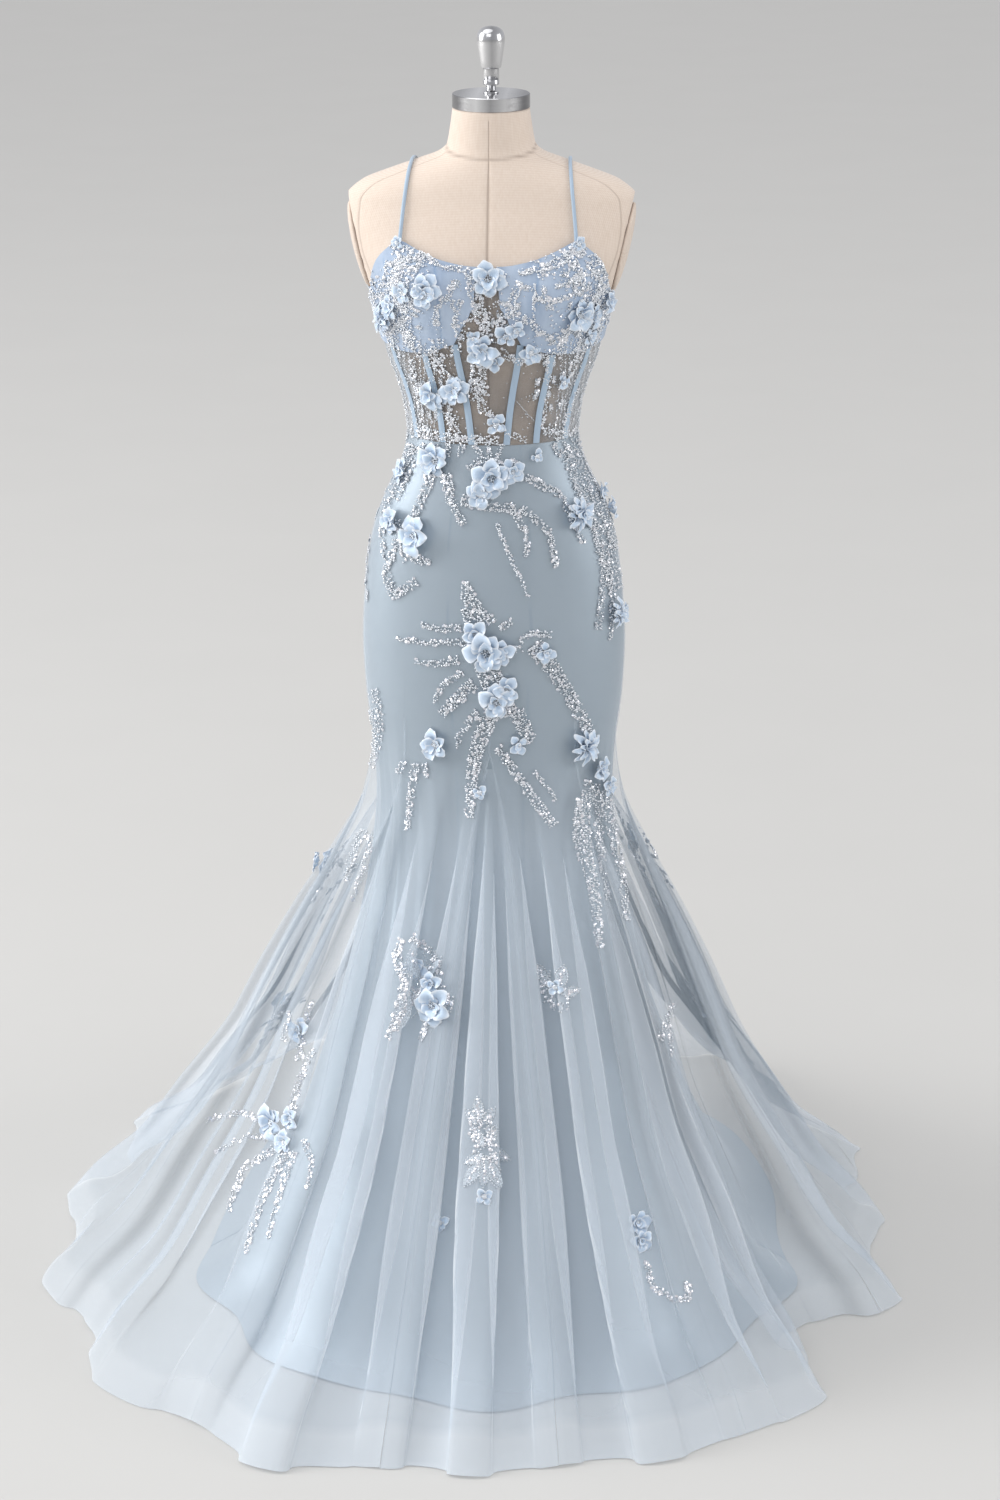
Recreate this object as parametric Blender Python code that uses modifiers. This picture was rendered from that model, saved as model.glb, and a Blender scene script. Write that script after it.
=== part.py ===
"""Mermaid prom dress, standing on a limbless dress form with a round foot.

Metres, +Z up, origin on the floor at the middle of the foot. The front of the
dress faces -Y, and the wearer's left is +X. Angles are in degrees round the
body, 0 at centre front and 90 at the wearer's left side.
"""
import math
from collections import namedtuple

import bmesh
import bpy
from mathutils import Matrix, Vector

# ---- driving sizes ---------------------------------------------------------
SEAM_GAP = 0.0003            # between two pieces at a seam
CLOTH_EASE = 0.0016          # from the form to the sheer corset mesh
MESH_THICK = 0.0010          # sheer corset mesh
CUP_EASE = 0.0026            # from the form to the inside of a cup
CUP_THICK = 0.0030           # padded cup
SATIN_EASE = 0.0008          # from the form to the satin skirt
SATIN_THICK = 0.0012
OVERLAY_EASE = 0.0028        # from the form to the tulle over the satin
TULLE_THICK = 0.0010
BONE_WIDTH = 0.0085          # boning channels on the sheer midriff
BONE_THICK = 0.0014
STRAP_RADIUS = 0.0022
ZIP_WIDTH = 0.0050
SLIDER_TALL = 0.0100
SLIDER_WIDE = 0.0036
SLIDER_THICK = 0.0022
WAIST = 1.2255               # seam between bodice and skirt
FLARE_TOP = 0.80             # where the overlay leaves the hips
FORM_COLUMNS = 36

FOOT_RADIUS = 0.165
FOOT_HEIGHT = 0.010
POLE_RADIUS = 0.0125
CAP_TOP = 1.673
CAP_RADIUS = 0.0505

# The body under the cloth: half widths and depths of its level sections.
Section = namedtuple("Section", "height half_width front back")
BODY = (
    Section(1.6547, 0.0500, 0.0500, 0.0500),
    Section(1.6300, 0.0535, 0.0520, 0.0540),
    Section(1.6080, 0.0580, 0.0535, 0.0580),
    Section(1.5970, 0.0700, 0.0555, 0.0640),
    Section(1.5860, 0.1000, 0.0600, 0.0690),
    Section(1.5740, 0.1350, 0.0655, 0.0740),
    Section(1.5600, 0.1700, 0.0710, 0.0800),
    Section(1.5400, 0.1900, 0.0780, 0.0870),
    Section(1.5100, 0.1930, 0.0900, 0.0940),
    Section(1.4800, 0.1885, 0.0995, 0.0965),
    Section(1.4550, 0.1790, 0.1050, 0.0965),
    Section(1.4280, 0.1655, 0.1075, 0.0955),
    Section(1.4010, 0.1530, 0.1065, 0.0930),
    Section(1.3700, 0.1460, 0.1020, 0.0900),
    Section(1.3350, 0.1375, 0.0925, 0.0860),
    Section(1.3000, 0.1250, 0.0840, 0.0820),
    Section(1.2650, 0.1155, 0.0810, 0.0780),
    Section(WAIST, 0.1110, 0.0800, 0.0765),
    Section(1.1850, 0.1200, 0.0850, 0.0830),
    Section(1.1400, 0.1415, 0.0910, 0.0960),
    Section(1.0800, 0.1620, 0.0965, 0.1110),
    Section(1.0100, 0.1715, 0.1010, 0.1205),
    Section(0.9400, 0.1755, 0.1040, 0.1215),
    Section(0.8700, 0.1725, 0.1040, 0.1170),
    Section(FLARE_TOP, 0.1640, 0.1015, 0.1110),
)
FORM_END = 0.8700            # lowest section of the form
FORM_UNDERSIDE = 0.8450

# The bust: two soft rounds pushed forward from the sections.
BUST_ANGLE = 33.0
BUST_SPREAD = 21.0
BUST_HEIGHT = 1.428
BUST_TALL = 0.052
BUST_FULL = 0.019

# The skirt below the hips. flare is how far the overlay has gone from the
# hips to its hem at that height, and valley how deep its folds have grown.
Skirt = namedtuple("Skirt", "height half_width front back flare valley")
SKIRT = (
    Skirt(FLARE_TOP, 0.1640, 0.1015, 0.1110, 0.000, 0.000),
    Skirt(0.7200, 0.1600, 0.1030, 0.1150, 0.030, 0.086),
    Skirt(0.6300, 0.1680, 0.1140, 0.1380, 0.125, 0.233),
    Skirt(0.5300, 0.1870, 0.1500, 0.1880, 0.250, 0.379),
    Skirt(0.4300, 0.2110, 0.1920, 0.2450, 0.365, 0.494),
    Skirt(0.3300, 0.2420, 0.2430, 0.3200, 0.470, 0.590),
    Skirt(0.2200, 0.2790, 0.3050, 0.4150, 0.630, 0.724),
    Skirt(0.1200, 0.3250, 0.3620, 0.5200, 0.775, 0.837),
    Skirt(0.0500, 0.3600, 0.4020, 0.6100, 0.925, 0.947),
    Skirt(0.0180, 0.3880, 0.4240, 0.6600, 0.975, 0.982),
    Skirt(0.0020, 0.4200, 0.4370, 0.7000, 1.000, 1.000),
)

# The folds of the overlay as its hem lies on the floor: each row is a crest,
# and dip is the depth of the valley between it and the next.
Fold = namedtuple("Fold", "angle radius dip")
HEM_FOLDS = (
    Fold(-180, 0.860, 0.060),
    Fold(-152, 0.820, 0.060),
    Fold(-128, 0.740, 0.060),
    Fold(-104, 0.675, 0.050),
    Fold(-81, 0.657, 0.055),
    Fold(-50, 0.664, 0.045),
    Fold(-24, 0.669, 0.030),
    Fold(0, 0.618, 0.025),
    Fold(26, 0.622, 0.020),
    Fold(46, 0.624, 0.140),
    Fold(80, 0.592, 0.050),
    Fold(104, 0.580, 0.045),
    Fold(128, 0.670, 0.060),
    Fold(152, 0.790, 0.060),
    Fold(180, 0.860, 0.060),
)

# Soft folds of the satin under it: so many waves, so deep at the hem.
SATIN_WAVES = 9
SATIN_WAVE_DEPTH = 0.011

# Godets let into the overlay's seams: where the seam is at the waist and at
# the hem, where the godet starts, and half its width at the hem.
Godet = namedtuple("Godet", "name waist_angle hem_angle apex half_spread")
GODETS = (
    Godet("centre_front", 0, 0, 0.80, 11),
    Godet("front_left", 27, 46, 0.72, 10),
    Godet("side_left", 90, 84, 0.72, 9),
    Godet("back_left", 150, 130, 0.72, 11),
    Godet("centre_back", 180, 180, 0.72, 12),
    Godet("back_right", 210, 230, 0.72, 11),
    Godet("side_right", 270, 276, 0.72, 10),
    Godet("front_right", 333, 312, 0.72, 11),
)
PANEL_NAMES = ("front_left", "side_front_left", "side_back_left", "back_left",
               "back_right", "side_back_right", "side_front_right", "front_right")
GODET_TIP = 0.015            # a godet's top edge lies this far under its apex
PANEL_COLUMNS = 6
GODET_COLUMNS = 4

# The bodice's top edge, and the seam below the cups, by angle from the front.
Edge = namedtuple("Edge", "angle height")
NECKLINE = (
    Edge(0, 1.4660), Edge(9, 1.4670), Edge(19, 1.4735), Edge(28, 1.4845),
    Edge(36, 1.4975), Edge(50, 1.4700), Edge(65, 1.4300), Edge(90, 1.4010),
    Edge(120, 1.3720), Edge(150, 1.3480), Edge(180, 1.3380),
)
UNDERBUST = (
    Edge(0, 1.3680), Edge(17, 1.3680), Edge(30, 1.3530), Edge(48, 1.3480),
    Edge(68, 1.3520), Edge(90, 1.3580),
)
# The seam from the centre panel up between the cups: share of the way up.
Gore = namedtuple("Gore", "share angle")
CUP_GORE = (Gore(0.0, 17.0), Gore(0.5, 6.0), Gore(1.0, 4.0))
CUP_ROWS = 6
FRONT_COLUMNS = 8            # seam, each ten degrees, side seam
BACK_COLUMNS = 9
MIDRIFF_ROWS = 5
ROW_CLOSE = 0.008            # rows close up this far apart under a top edge

# Boning channels: angle at the waist and at the underbust.
Bone = namedtuple("Bone", "name waist_angle top_angle")
BONES = (
    Bone("boning_inner", 11.7, 17.0),
    Bone("boning_middle", 32.7, 36.0),
    Bone("boning_outer", 60.0, 64.0),
)

# Strap: where it passes over the form, from the cup over the shoulder down
# to the back. side is -1 in front and 1 at the back.
Strap = namedtuple("Strap", "height across side")
STRAP = (
    Strap(1.4984, 0.1125, -1), Strap(1.5200, 0.1105, -1), Strap(1.5400, 0.1085, -1),
    Strap(1.5560, 0.1065, -1), Strap(1.5680, 0.1050, -1), Strap(1.5770, 0.1035, -1),
    Strap(1.5840, 0.1020, -1), Strap(1.5853, 0.1016, -1), Strap(1.5853, 0.1012, 1),
    Strap(1.5838, 0.1008, 1), Strap(1.5800, 0.1000, 1), Strap(1.5740, 0.0992, 1),
    Strap(1.5640, 0.0980, 1), Strap(1.5440, 0.0955, 1), Strap(1.5150, 0.0920, 1),
    Strap(1.4800, 0.0885, 1), Strap(1.4400, 0.0845, 1), Strap(1.4000, 0.0805, 1),
    Strap(1.3700, 0.0773, 1), Strap(1.3508, 0.0757, 1),
)
STRAP_CLEAR = 0.0012

# The arm plates close the form's shoulders on a sloping plane.
ARM_PLANE_TOP = 1.54
ARM_PLANE_ACROSS = 0.1855
ARM_PLANE_SLOPE = 0.241
PLATE_HEIGHT = 1.4740
PLATE_HALF_TALL = 0.0600
PLATE_HALF_DEEP = 0.0430
PLATE_RIM = 0.0040
PLATE_CROWN = 0.0110

# Flowers: where each is sewn, and its radius. seat is how far the cloth's flat
# facets lie inside its true curve there, so that the flower meets them.
Flower = namedtuple("Flower", "name layer angle height radius petals turn seat")
FLOWERS = (
    Flower("flower_neckline", "gore", 1.0, 1.4520, 0.026, 6, 10, 0.0012),
    Flower("flower_cup_right", "cup", -34.0, 1.4400, 0.024, 5, 35, 0.0021),
    Flower("flower_cup_side_right", "cup", -66.0, 1.3900, 0.025, 6, 0, 0.0011),
    Flower("flower_cup_side_left", "cup", 54.0, 1.4020, 0.026, 6, 20, 0.0006),
    Flower("flower_bust", "midriff", -3.0, 1.3600, 0.026, 5, 50, 0.0),
    Flower("flower_midriff_right", "midriff", -28.0, 1.2980, 0.025, 5, 15, 0.0),
    Flower("flower_waist_right", "overlay", -46.0, 1.2020, 0.026, 6, 25, 0.0),
    Flower("flower_waist_centre", "overlay", 2.0, 1.1830, 0.031, 6, 5, 0.0),
    Flower("flower_hip_right", "overlay", -52.0, 1.1000, 0.029, 6, 40, 0.0),
    Flower("flower_hip_left", "overlay", 61.0, 1.1300, 0.030, 6, 15, 0.0),
    Flower("flower_thigh_left", "overlay", 77.0, 0.9850, 0.024, 5, 0, 0.0),
    Flower("flower_thigh_centre", "overlay", -2.0, 0.9480, 0.033, 6, 30, 0.0),
    Flower("flower_knee_centre", "overlay", 5.0, 0.8800, 0.028, 5, 0, 0.0),
    Flower("flower_knee_right", "overlay", -37.0, 0.8150, 0.024, 5, 20, 0.0),
    Flower("flower_knee_left", "overlay", 60.0, 0.8080, 0.030, 6, 10, 0.0),
    Flower("flower_sweep_front", "overlay", -16.0, 0.4950, 0.028, 6, 20, 0.0),
    Flower("flower_sweep_right", "overlay", -52.0, 0.3100, 0.028, 6, 35, 0.0012),
)
FLOWER_CLEAR = 0.0004

# ---- colours ---------------------------------------------------------------
Finish = namedtuple("Finish", "colour roughness metallic")
FINISHES = {
    "linen": Finish((0.86, 0.79, 0.72), 0.85, 0.0),
    "chrome": Finish((0.72, 0.72, 0.73), 0.12, 1.0),
    "painted_steel": Finish((0.80, 0.80, 0.80), 0.45, 0.0),
    "cup_tulle": Finish((0.55, 0.67, 0.82), 0.60, 0.0),
    "sheer_mesh": Finish((0.70, 0.72, 0.74), 0.55, 0.0),
    "satin": Finish((0.42, 0.54, 0.64), 0.38, 0.0),
    "tulle": Finish((0.66, 0.74, 0.82), 0.60, 0.0),
    "petal_organza": Finish((0.55, 0.68, 0.86), 0.50, 0.0),
    "ribbon": Finish((0.52, 0.66, 0.80), 0.42, 0.0),
}


# ---- surfaces --------------------------------------------------------------
def between(table, height):
    """The row of a table at this height, read straight between two rows."""
    if height >= table[0].height:
        return table[0]
    for upper, lower in zip(table, table[1:]):
        if height >= lower.height:
            share = (upper.height - height) / (upper.height - lower.height)
            return type(upper)(*(a + (b - a) * share for a, b in zip(upper, lower)))
    return table[-1]


def edge_height(edge, angle):
    """Height of an edge curve at this angle, the same left and right."""
    turn = abs(angle)
    for first, second in zip(edge, edge[1:]):
        if turn <= second.angle:
            share = (turn - first.angle) / (second.angle - first.angle)
            return first.height + (second.height - first.height) * share
    return edge[-1].height


def section_point(row, angle, height):
    turn = math.radians(angle)
    depth = row.front if math.cos(turn) > 0 else row.back
    return Vector((row.half_width * math.sin(turn), -depth * math.cos(turn), height))


def signed(angle):
    """The same direction as an angle from -180 to 180."""
    return (angle + 180.0) % 360.0 - 180.0


def body(angle, height):
    point = section_point(between(BODY, height), angle, height)
    across = (abs(signed(angle)) - BUST_ANGLE) / BUST_SPREAD
    up = (height - BUST_HEIGHT) / BUST_TALL
    point.y -= BUST_FULL * math.exp(-across * across - up * up)
    return point


def satin(angle, height):
    """The satin skirt: the body to the hips, then its own trumpet line."""
    if height >= FLARE_TOP:
        return body(angle, height)
    row = between(SKIRT, height)
    point = section_point(row, angle, height)
    wave = math.cos(math.radians(angle * SATIN_WAVES))
    outward = Vector((point.x, point.y, 0.0)).normalized()
    return point + outward * (SATIN_WAVE_DEPTH * wave * row.flare)


def hem_fold(angle):
    """Radius of the line through the crests, and the valley's depth here."""
    turn = signed(angle)
    for fold, following in zip(HEM_FOLDS, HEM_FOLDS[1:]):
        if turn <= following.angle:
            share = (turn - fold.angle) / (following.angle - fold.angle)
            eased = share * share * (3.0 - 2.0 * share)
            radius = fold.radius + (following.radius - fold.radius) * eased
            return radius, fold.dip * math.sin(math.pi * share) ** 2
    return HEM_FOLDS[-1].radius, 0.0


def overlay(angle, height):
    """The tulle: the body to the hips, then straight lines out to its hem."""
    if height >= FLARE_TOP:
        return body(angle, height)
    row = between(SKIRT, height)
    turn = math.radians(angle)
    outward = Vector((math.sin(turn), -math.cos(turn), 0.0))
    radius, dip = hem_fold(angle)
    hip = body(angle, FLARE_TOP)
    point = hip.lerp(outward * radius, row.flare) - outward * dip * row.valley
    point.z = height
    return point


def normal_at(surface, angle, height):
    """Outward direction of a surface, from its points close by."""
    around = surface(angle + 0.5, height) - surface(angle - 0.5, height)
    upward = surface(angle, height + 0.002) - surface(angle, height - 0.002)
    return around.cross(upward).normalized()


def moved_out(surface, angle, height, distance):
    return surface(angle, height) + normal_at(surface, angle, height) * distance


# ---- making pieces ---------------------------------------------------------
def clear_scene():
    for old in list(bpy.data.objects):
        bpy.data.objects.remove(old, do_unlink=True)


def finish_material(name):
    material = bpy.data.materials.get(name)
    if material is None:
        material = bpy.data.materials.new(name)
        material.use_nodes = True
        shader = material.node_tree.nodes["Principled BSDF"]
        finish = FINISHES[name]
        shader.inputs["Base Color"].default_value = (*finish.colour, 1.0)
        shader.inputs["Roughness"].default_value = finish.roughness
        shader.inputs["Metallic"].default_value = finish.metallic
    return material


def add_object(name, data, finish, collection):
    piece = bpy.data.objects.new(name, data)
    data.materials.append(finish_material(finish))
    collection.objects.link(piece)
    return piece


def add_mesh(name, shape, finish, collection):
    """Turn a bmesh into a named, smooth-shaded object."""
    data = bpy.data.meshes.new(name)
    shape.to_mesh(data)
    shape.free()
    data.shade_smooth()
    data.set_sharp_from_angle(angle=math.radians(40))
    return add_object(name, data, finish, collection)


def add_wall(name, surface, place, columns, rows, ease, thick, finish, collection):
    """A cloth wall on a surface. place(across, up) gives angle and height."""
    shape = bmesh.new()
    bmesh.ops.create_grid(shape, x_segments=columns, y_segments=rows, size=0.5)
    inner = shape.verts[:]
    made = bmesh.ops.extrude_face_region(shape, geom=shape.faces[:], use_keep_orig=True)
    outer = [item for item in made["geom"] if isinstance(item, bmesh.types.BMVert)]
    for verts, distance in ((inner, ease), (outer, ease + thick)):
        for vert in verts:
            angle, height = place(vert.co.x + 0.5, vert.co.y + 0.5)
            vert.co = moved_out(surface, angle, height, distance)
    bmesh.ops.triangulate(shape, faces=shape.faces[:], quad_method="SHORT_EDGE")
    shape.normal_update()
    bmesh.ops.recalc_face_normals(shape, faces=shape.faces[:])
    return add_mesh(name, shape, finish, collection)


def add_turned(name, profile, steps, finish, collection):
    """A turned piece from (radius, height) points, top to bottom."""
    data = bpy.data.meshes.new(name)
    points = [(radius, 0.0, height) for radius, height in profile]
    edges = [(index, index + 1) for index in range(len(points) - 1)]
    data.from_pydata(points, edges, [])
    piece = add_object(name, data, finish, collection)
    turn = piece.modifiers.new("turn", "SCREW")
    turn.angle = 2 * math.pi
    turn.steps = steps
    turn.render_steps = steps
    turn.use_merge_vertices = True
    turn.merge_threshold = 0.00005
    turn.use_smooth_shade = True
    return piece


def angle_of(width, surface, angle, height):
    """A width along a surface, as an angle at this place."""
    return width / (surface(angle + 0.5, height) - surface(angle - 0.5, height)).length


def gap_angle(surface, angle, height):
    """Half a seam's gap, as an angle at this place."""
    return angle_of(0.5 * SEAM_GAP, surface, angle, height)


def column_angle(start, end, column):
    """Columns on whole tens of degrees between two seams, as on the form."""
    tens = range(20, 90, 10) if end < 91.0 else range(100, 180, 10)
    return (start, *tens, end)[column]


# ---- the dress form --------------------------------------------------------
def arm_plane_across(height):
    return ARM_PLANE_ACROSS - ARM_PLANE_SLOPE * (ARM_PLANE_TOP - height)


def make_torso(collection):
    """Neck, shoulders and trunk: a sphere whose rings become the sections."""
    heights = [row.height for row in BODY if row.height >= FORM_END]
    rings = len(heights) + 1
    shape = bmesh.new()
    bmesh.ops.create_uvsphere(shape, u_segments=FORM_COLUMNS, v_segments=rings + 1, radius=1.0)
    for vert in shape.verts:
        ring = round(math.acos(max(-1.0, min(1.0, vert.co.z))) / math.pi * (rings + 1))
        angle = math.degrees(math.atan2(vert.co.x, -vert.co.y))
        if ring == 0:
            vert.co = Vector((0.0, 0.0, heights[0]))
        elif ring == rings + 1:
            vert.co = Vector((0.0, 0.0, FORM_UNDERSIDE))
        elif ring == rings:
            rim = body(angle, FORM_END)
            vert.co = Vector((rim.x * 0.93, rim.y * 0.93, FORM_UNDERSIDE))
        else:
            point = body(angle, heights[ring - 1])
            limit = arm_plane_across(point.z)
            point.x = max(-limit, min(limit, point.x))
            vert.co = point
    bmesh.ops.triangulate(shape, faces=shape.faces[:], quad_method="SHORT_EDGE")
    add_mesh("form_torso", shape, "linen", collection)


def make_arm_plate(side, name, collection):
    """An oval plate with a low crown, lying on the shoulder's cut plane."""
    shape = bmesh.new()
    bmesh.ops.create_uvsphere(shape, u_segments=24, v_segments=5, radius=1.0)
    levels = ((0.0, 0.0), (0.985, 0.0), (1.0, PLATE_RIM), (0.72, 0.75 * PLATE_CROWN),
              (0.34, 0.96 * PLATE_CROWN), (0.0, PLATE_CROWN))
    lean = math.atan(ARM_PLANE_SLOPE)
    outward = Vector((side * math.cos(lean), 0.0, -math.sin(lean)))
    upward = Vector((side * math.sin(lean), 0.0, math.cos(lean)))
    centre = Vector((side * arm_plane_across(PLATE_HEIGHT), 0.0, PLATE_HEIGHT))
    for vert in shape.verts:
        ring = round(math.acos(max(-1.0, min(1.0, vert.co.z))) / math.pi * 5)
        radius, rise = levels[5 - ring]
        flat = Vector((vert.co.x, vert.co.y, 0.0))
        if flat.length > 1e-6:
            flat.normalize()
        deep = flat.x * radius * PLATE_HALF_DEEP
        tall = flat.y * radius * PLATE_HALF_TALL
        vert.co = (centre + outward * (rise + SEAM_GAP) + upward * tall
                   + Vector((0.0, deep, 0.0)))
    shape.normal_update()
    bmesh.ops.recalc_face_normals(shape, faces=shape.faces[:])
    add_mesh(name, shape, "linen", collection)


def make_cap_and_handle(collection):
    cap_foot = BODY[0].height + SEAM_GAP
    add_turned("form_neck_cap", (
        (0.0, CAP_TOP), (CAP_RADIUS - 0.0010, CAP_TOP), (CAP_RADIUS, CAP_TOP - 0.0008),
        (CAP_RADIUS, cap_foot + 0.0006), (CAP_RADIUS - 0.0008, cap_foot), (0.0, cap_foot),
    ), 32, "chrome", collection)
    foot = CAP_TOP + SEAM_GAP
    add_turned("form_handle", (
        (0.0, 1.7585), (0.0070, 1.7572), (0.0130, 1.7530), (0.0170, 1.7470),
        (0.0182, 1.7420), (0.0175, 1.7340), (0.0134, 1.7070), (0.0128, 1.7058),
        (0.0106, 1.7052), (0.0106, 1.6845), (0.0100, 1.6838), (0.0062, 1.6838),
        (0.0062, foot + 0.0030), (0.0100, foot + 0.0016), (0.0102, foot), (0.0, foot),
    ), 18, "chrome", collection)


def make_stand(collection):
    pole_top = FORM_UNDERSIDE - SEAM_GAP
    pole_foot = FOOT_HEIGHT + SEAM_GAP
    add_turned("form_pole", (
        (0.0, pole_top), (POLE_RADIUS, pole_top), (POLE_RADIUS, pole_foot + 0.05),
        (POLE_RADIUS * 1.5, pole_foot + 0.045), (POLE_RADIUS * 1.5, pole_foot),
        (0.0, pole_foot),
    ), 20, "painted_steel", collection)
    add_turned("form_foot", (
        (0.0, FOOT_HEIGHT), (FOOT_RADIUS - 0.020, FOOT_HEIGHT - 0.002),
        (FOOT_RADIUS, 0.006), (FOOT_RADIUS, 0.0), (0.0, 0.0),
    ), 40, "painted_steel", collection)


# ---- the bodice ------------------------------------------------------------
def cup_place(side):
    """Grid places of one cup, from the gore out to the side seam."""
    def place(across, up):
        gore = gore_angle(up) + gap_angle(body, 20.0, BUST_HEIGHT)
        side_seam = 90.0 - gap_angle(body, 90.0, BUST_HEIGHT)
        share = across if side > 0 else 1.0 - across
        angle = column_angle(gore, side_seam, round(share * FRONT_COLUMNS))
        low = edge_height(UNDERBUST, angle) + 0.5 * SEAM_GAP
        return side * angle, low + (edge_height(NECKLINE, angle) - low) * up
    return place


def gore_angle(up):
    for first, second in zip(CUP_GORE, CUP_GORE[1:]):
        if up <= second.share + 1e-9:
            share = (up - first.share) / (second.share - first.share)
            return first.angle + (second.angle - first.angle) * share
    return CUP_GORE[-1].angle


def bone_angle(bone, height):
    share = (height - WAIST) / (UNDERBUST[0].height - WAIST)
    return bone.waist_angle + (bone.top_angle - bone.waist_angle) * share


def panel_height(foot, top, row):
    """Rows of a bodice panel: on the body's own sections, up to its top edge."""
    levels = [section.height for section in reversed(BODY) if section.height > WAIST]
    if row == 0:
        return foot
    if row == MIDRIFF_ROWS:
        return top
    return min(levels[row - 1], top - ROW_CLOSE * (MIDRIFF_ROWS - row))


def centre_place(across, up):
    """The centre front panel: up the midriff, then the gore between the cups."""
    row = round(up * (MIDRIFF_ROWS + CUP_ROWS))
    if row <= MIDRIFF_ROWS:
        height = panel_height(WAIST + SEAM_GAP, UNDERBUST[1].height, row)
        half = bone_angle(BONES[0], height)
    else:
        share = (row - MIDRIFF_ROWS) / CUP_ROWS
        half = gore_angle(share)
        low = edge_height(UNDERBUST, half) + 0.5 * SEAM_GAP
        height = low + (edge_height(NECKLINE, half) - low) * share
    half -= gap_angle(body, 20.0, height)
    return (2.0 * across - 1.0) * half, height


def midriff_place(side, start, end, columns, top_edge):
    """A midriff or back panel between two seams, from the waist to its top."""
    def place(across, up):
        share = across if side > 0 else 1.0 - across
        column = round(share * columns)
        high = column_angle(start(UNDERBUST[0].height), end, column)
        top = edge_height(top_edge, high) - 0.5 * SEAM_GAP
        height = panel_height(WAIST + SEAM_GAP, top, round(up * MIDRIFF_ROWS))
        return side * column_angle(start(height), end, column), height
    return place


def make_bodice(collection):
    gap = gap_angle(body, 90.0, WAIST)
    zip_edge = 180.0 - angle_of(0.5 * ZIP_WIDTH, body, 180.0, WAIST)
    for side, hand in ((1, "left"), (-1, "right")):
        add_wall(f"cup_{hand}", body, cup_place(side), FRONT_COLUMNS, CUP_ROWS,
                 CUP_EASE, CUP_THICK, "cup_tulle", collection)
        front = midriff_place(side, lambda height: bone_angle(BONES[0], height) + gap,
                              90.0 - gap, FRONT_COLUMNS, UNDERBUST)
        add_wall(f"midriff_front_{hand}", body, front, FRONT_COLUMNS, MIDRIFF_ROWS,
                 CLOTH_EASE, MESH_THICK, "sheer_mesh", collection)
        back = midriff_place(side, lambda height: 90.0 + gap,
                             zip_edge, BACK_COLUMNS, NECKLINE)
        add_wall(f"bodice_back_{hand}", body, back, BACK_COLUMNS, MIDRIFF_ROWS,
                 CLOTH_EASE, MESH_THICK, "sheer_mesh", collection)
    add_wall("midriff_centre", body, centre_place, 4, MIDRIFF_ROWS + CUP_ROWS,
             CLOTH_EASE, MESH_THICK, "sheer_mesh", collection)


def make_boning(collection):
    """Flat channels on the midriff, just outside its mesh."""
    lift = CLOTH_EASE + MESH_THICK + SEAM_GAP
    for bone in BONES:
        for side, hand in ((1, "left"), (-1, "right")):
            def place(across, up, bone=bone, side=side):
                top = edge_height(UNDERBUST, bone.top_angle) - 0.0022
                height = panel_height(WAIST + 0.0010, top, round(up * MIDRIFF_ROWS))
                angle = bone_angle(bone, height)
                half = angle_of(0.5 * BONE_WIDTH, body, angle, height)
                return side * angle + (2.0 * across - 1.0) * half, height
            add_wall(f"{bone.name}_{hand}", body, place, 2, MIDRIFF_ROWS,
                     lift, BONE_THICK, "ribbon", collection)


def make_zip(collection):
    """The closed invisible zip down the centre back, and its slider."""
    top = NECKLINE[-1].height

    def place(across, up):
        height = panel_height(WAIST + SEAM_GAP, top, round(up * MIDRIFF_ROWS))
        half = angle_of(0.5 * ZIP_WIDTH - SEAM_GAP, body, 180.0, height)
        return 180.0 + (2.0 * across - 1.0) * half, height
    add_wall("zip_tape", body, place, 2, MIDRIFF_ROWS, CLOTH_EASE, MESH_THICK,
             "ribbon", collection)

    def slider_place(across, up):
        height = top - SLIDER_TALL * (1.4 - up)
        half = angle_of(0.5 * SLIDER_WIDE, body, 180.0, height)
        return 180.0 + (2.0 * across - 1.0) * half, height
    add_wall("zip_slider", body, slider_place, 2, 2,
             CLOTH_EASE + MESH_THICK + SEAM_GAP, SLIDER_THICK, "chrome", collection)


def strap_point(row, side):
    """A place on the shoulder, moved out to the middle of the strap."""
    section = between(BODY, row.height)
    angle = math.degrees(math.asin(min(1.0, row.across / section.half_width)))
    if row.side > 0:
        angle = 180.0 - angle
    return moved_out(body, side * angle, row.height, STRAP_RADIUS + STRAP_CLEAR)


def make_strap(side, name, collection):
    data = bpy.data.curves.new(name, "CURVE")
    data.dimensions = "3D"
    data.bevel_depth = STRAP_RADIUS
    data.bevel_resolution = 2
    data.use_fill_caps = True
    points = [strap_point(row, side) for row in STRAP]
    spline = data.splines.new("POLY")
    spline.points.add(len(points) - 1)
    for slot, point in zip(spline.points, points):
        slot.co = (*point, 1.0)
    add_object(name, data, "ribbon", collection)


# ---- the skirts ------------------------------------------------------------
def skirt_heights():
    """Heights of the rows that the satin and the overlay share."""
    fitted = [row.height for row in BODY if row.height < WAIST]
    flared = [row.height for row in SKIRT if row.height < FLARE_TOP]
    return [WAIST - SEAM_GAP] + fitted + flared


def make_satin(collection):
    """Trumpet skirt: a front and two backs, with a short train."""
    heights = skirt_heights()
    rows = len(heights) - 1
    panels = (("satin_front", -90, 90), ("satin_back_left", 90, 180),
              ("satin_back_right", 180, 270))
    for name, start, end in panels:
        def place(across, up, start=start, end=end):
            height = heights[round((1.0 - up) * rows)]
            angle = start + (end - start) * across
            gap = gap_angle(satin, angle, height)
            return angle + gap * (1.0 - 2.0 * across), height
        add_wall(name, satin, place, (end - start) // 10, rows,
                 SATIN_EASE, SATIN_THICK, "satin", collection)


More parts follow.
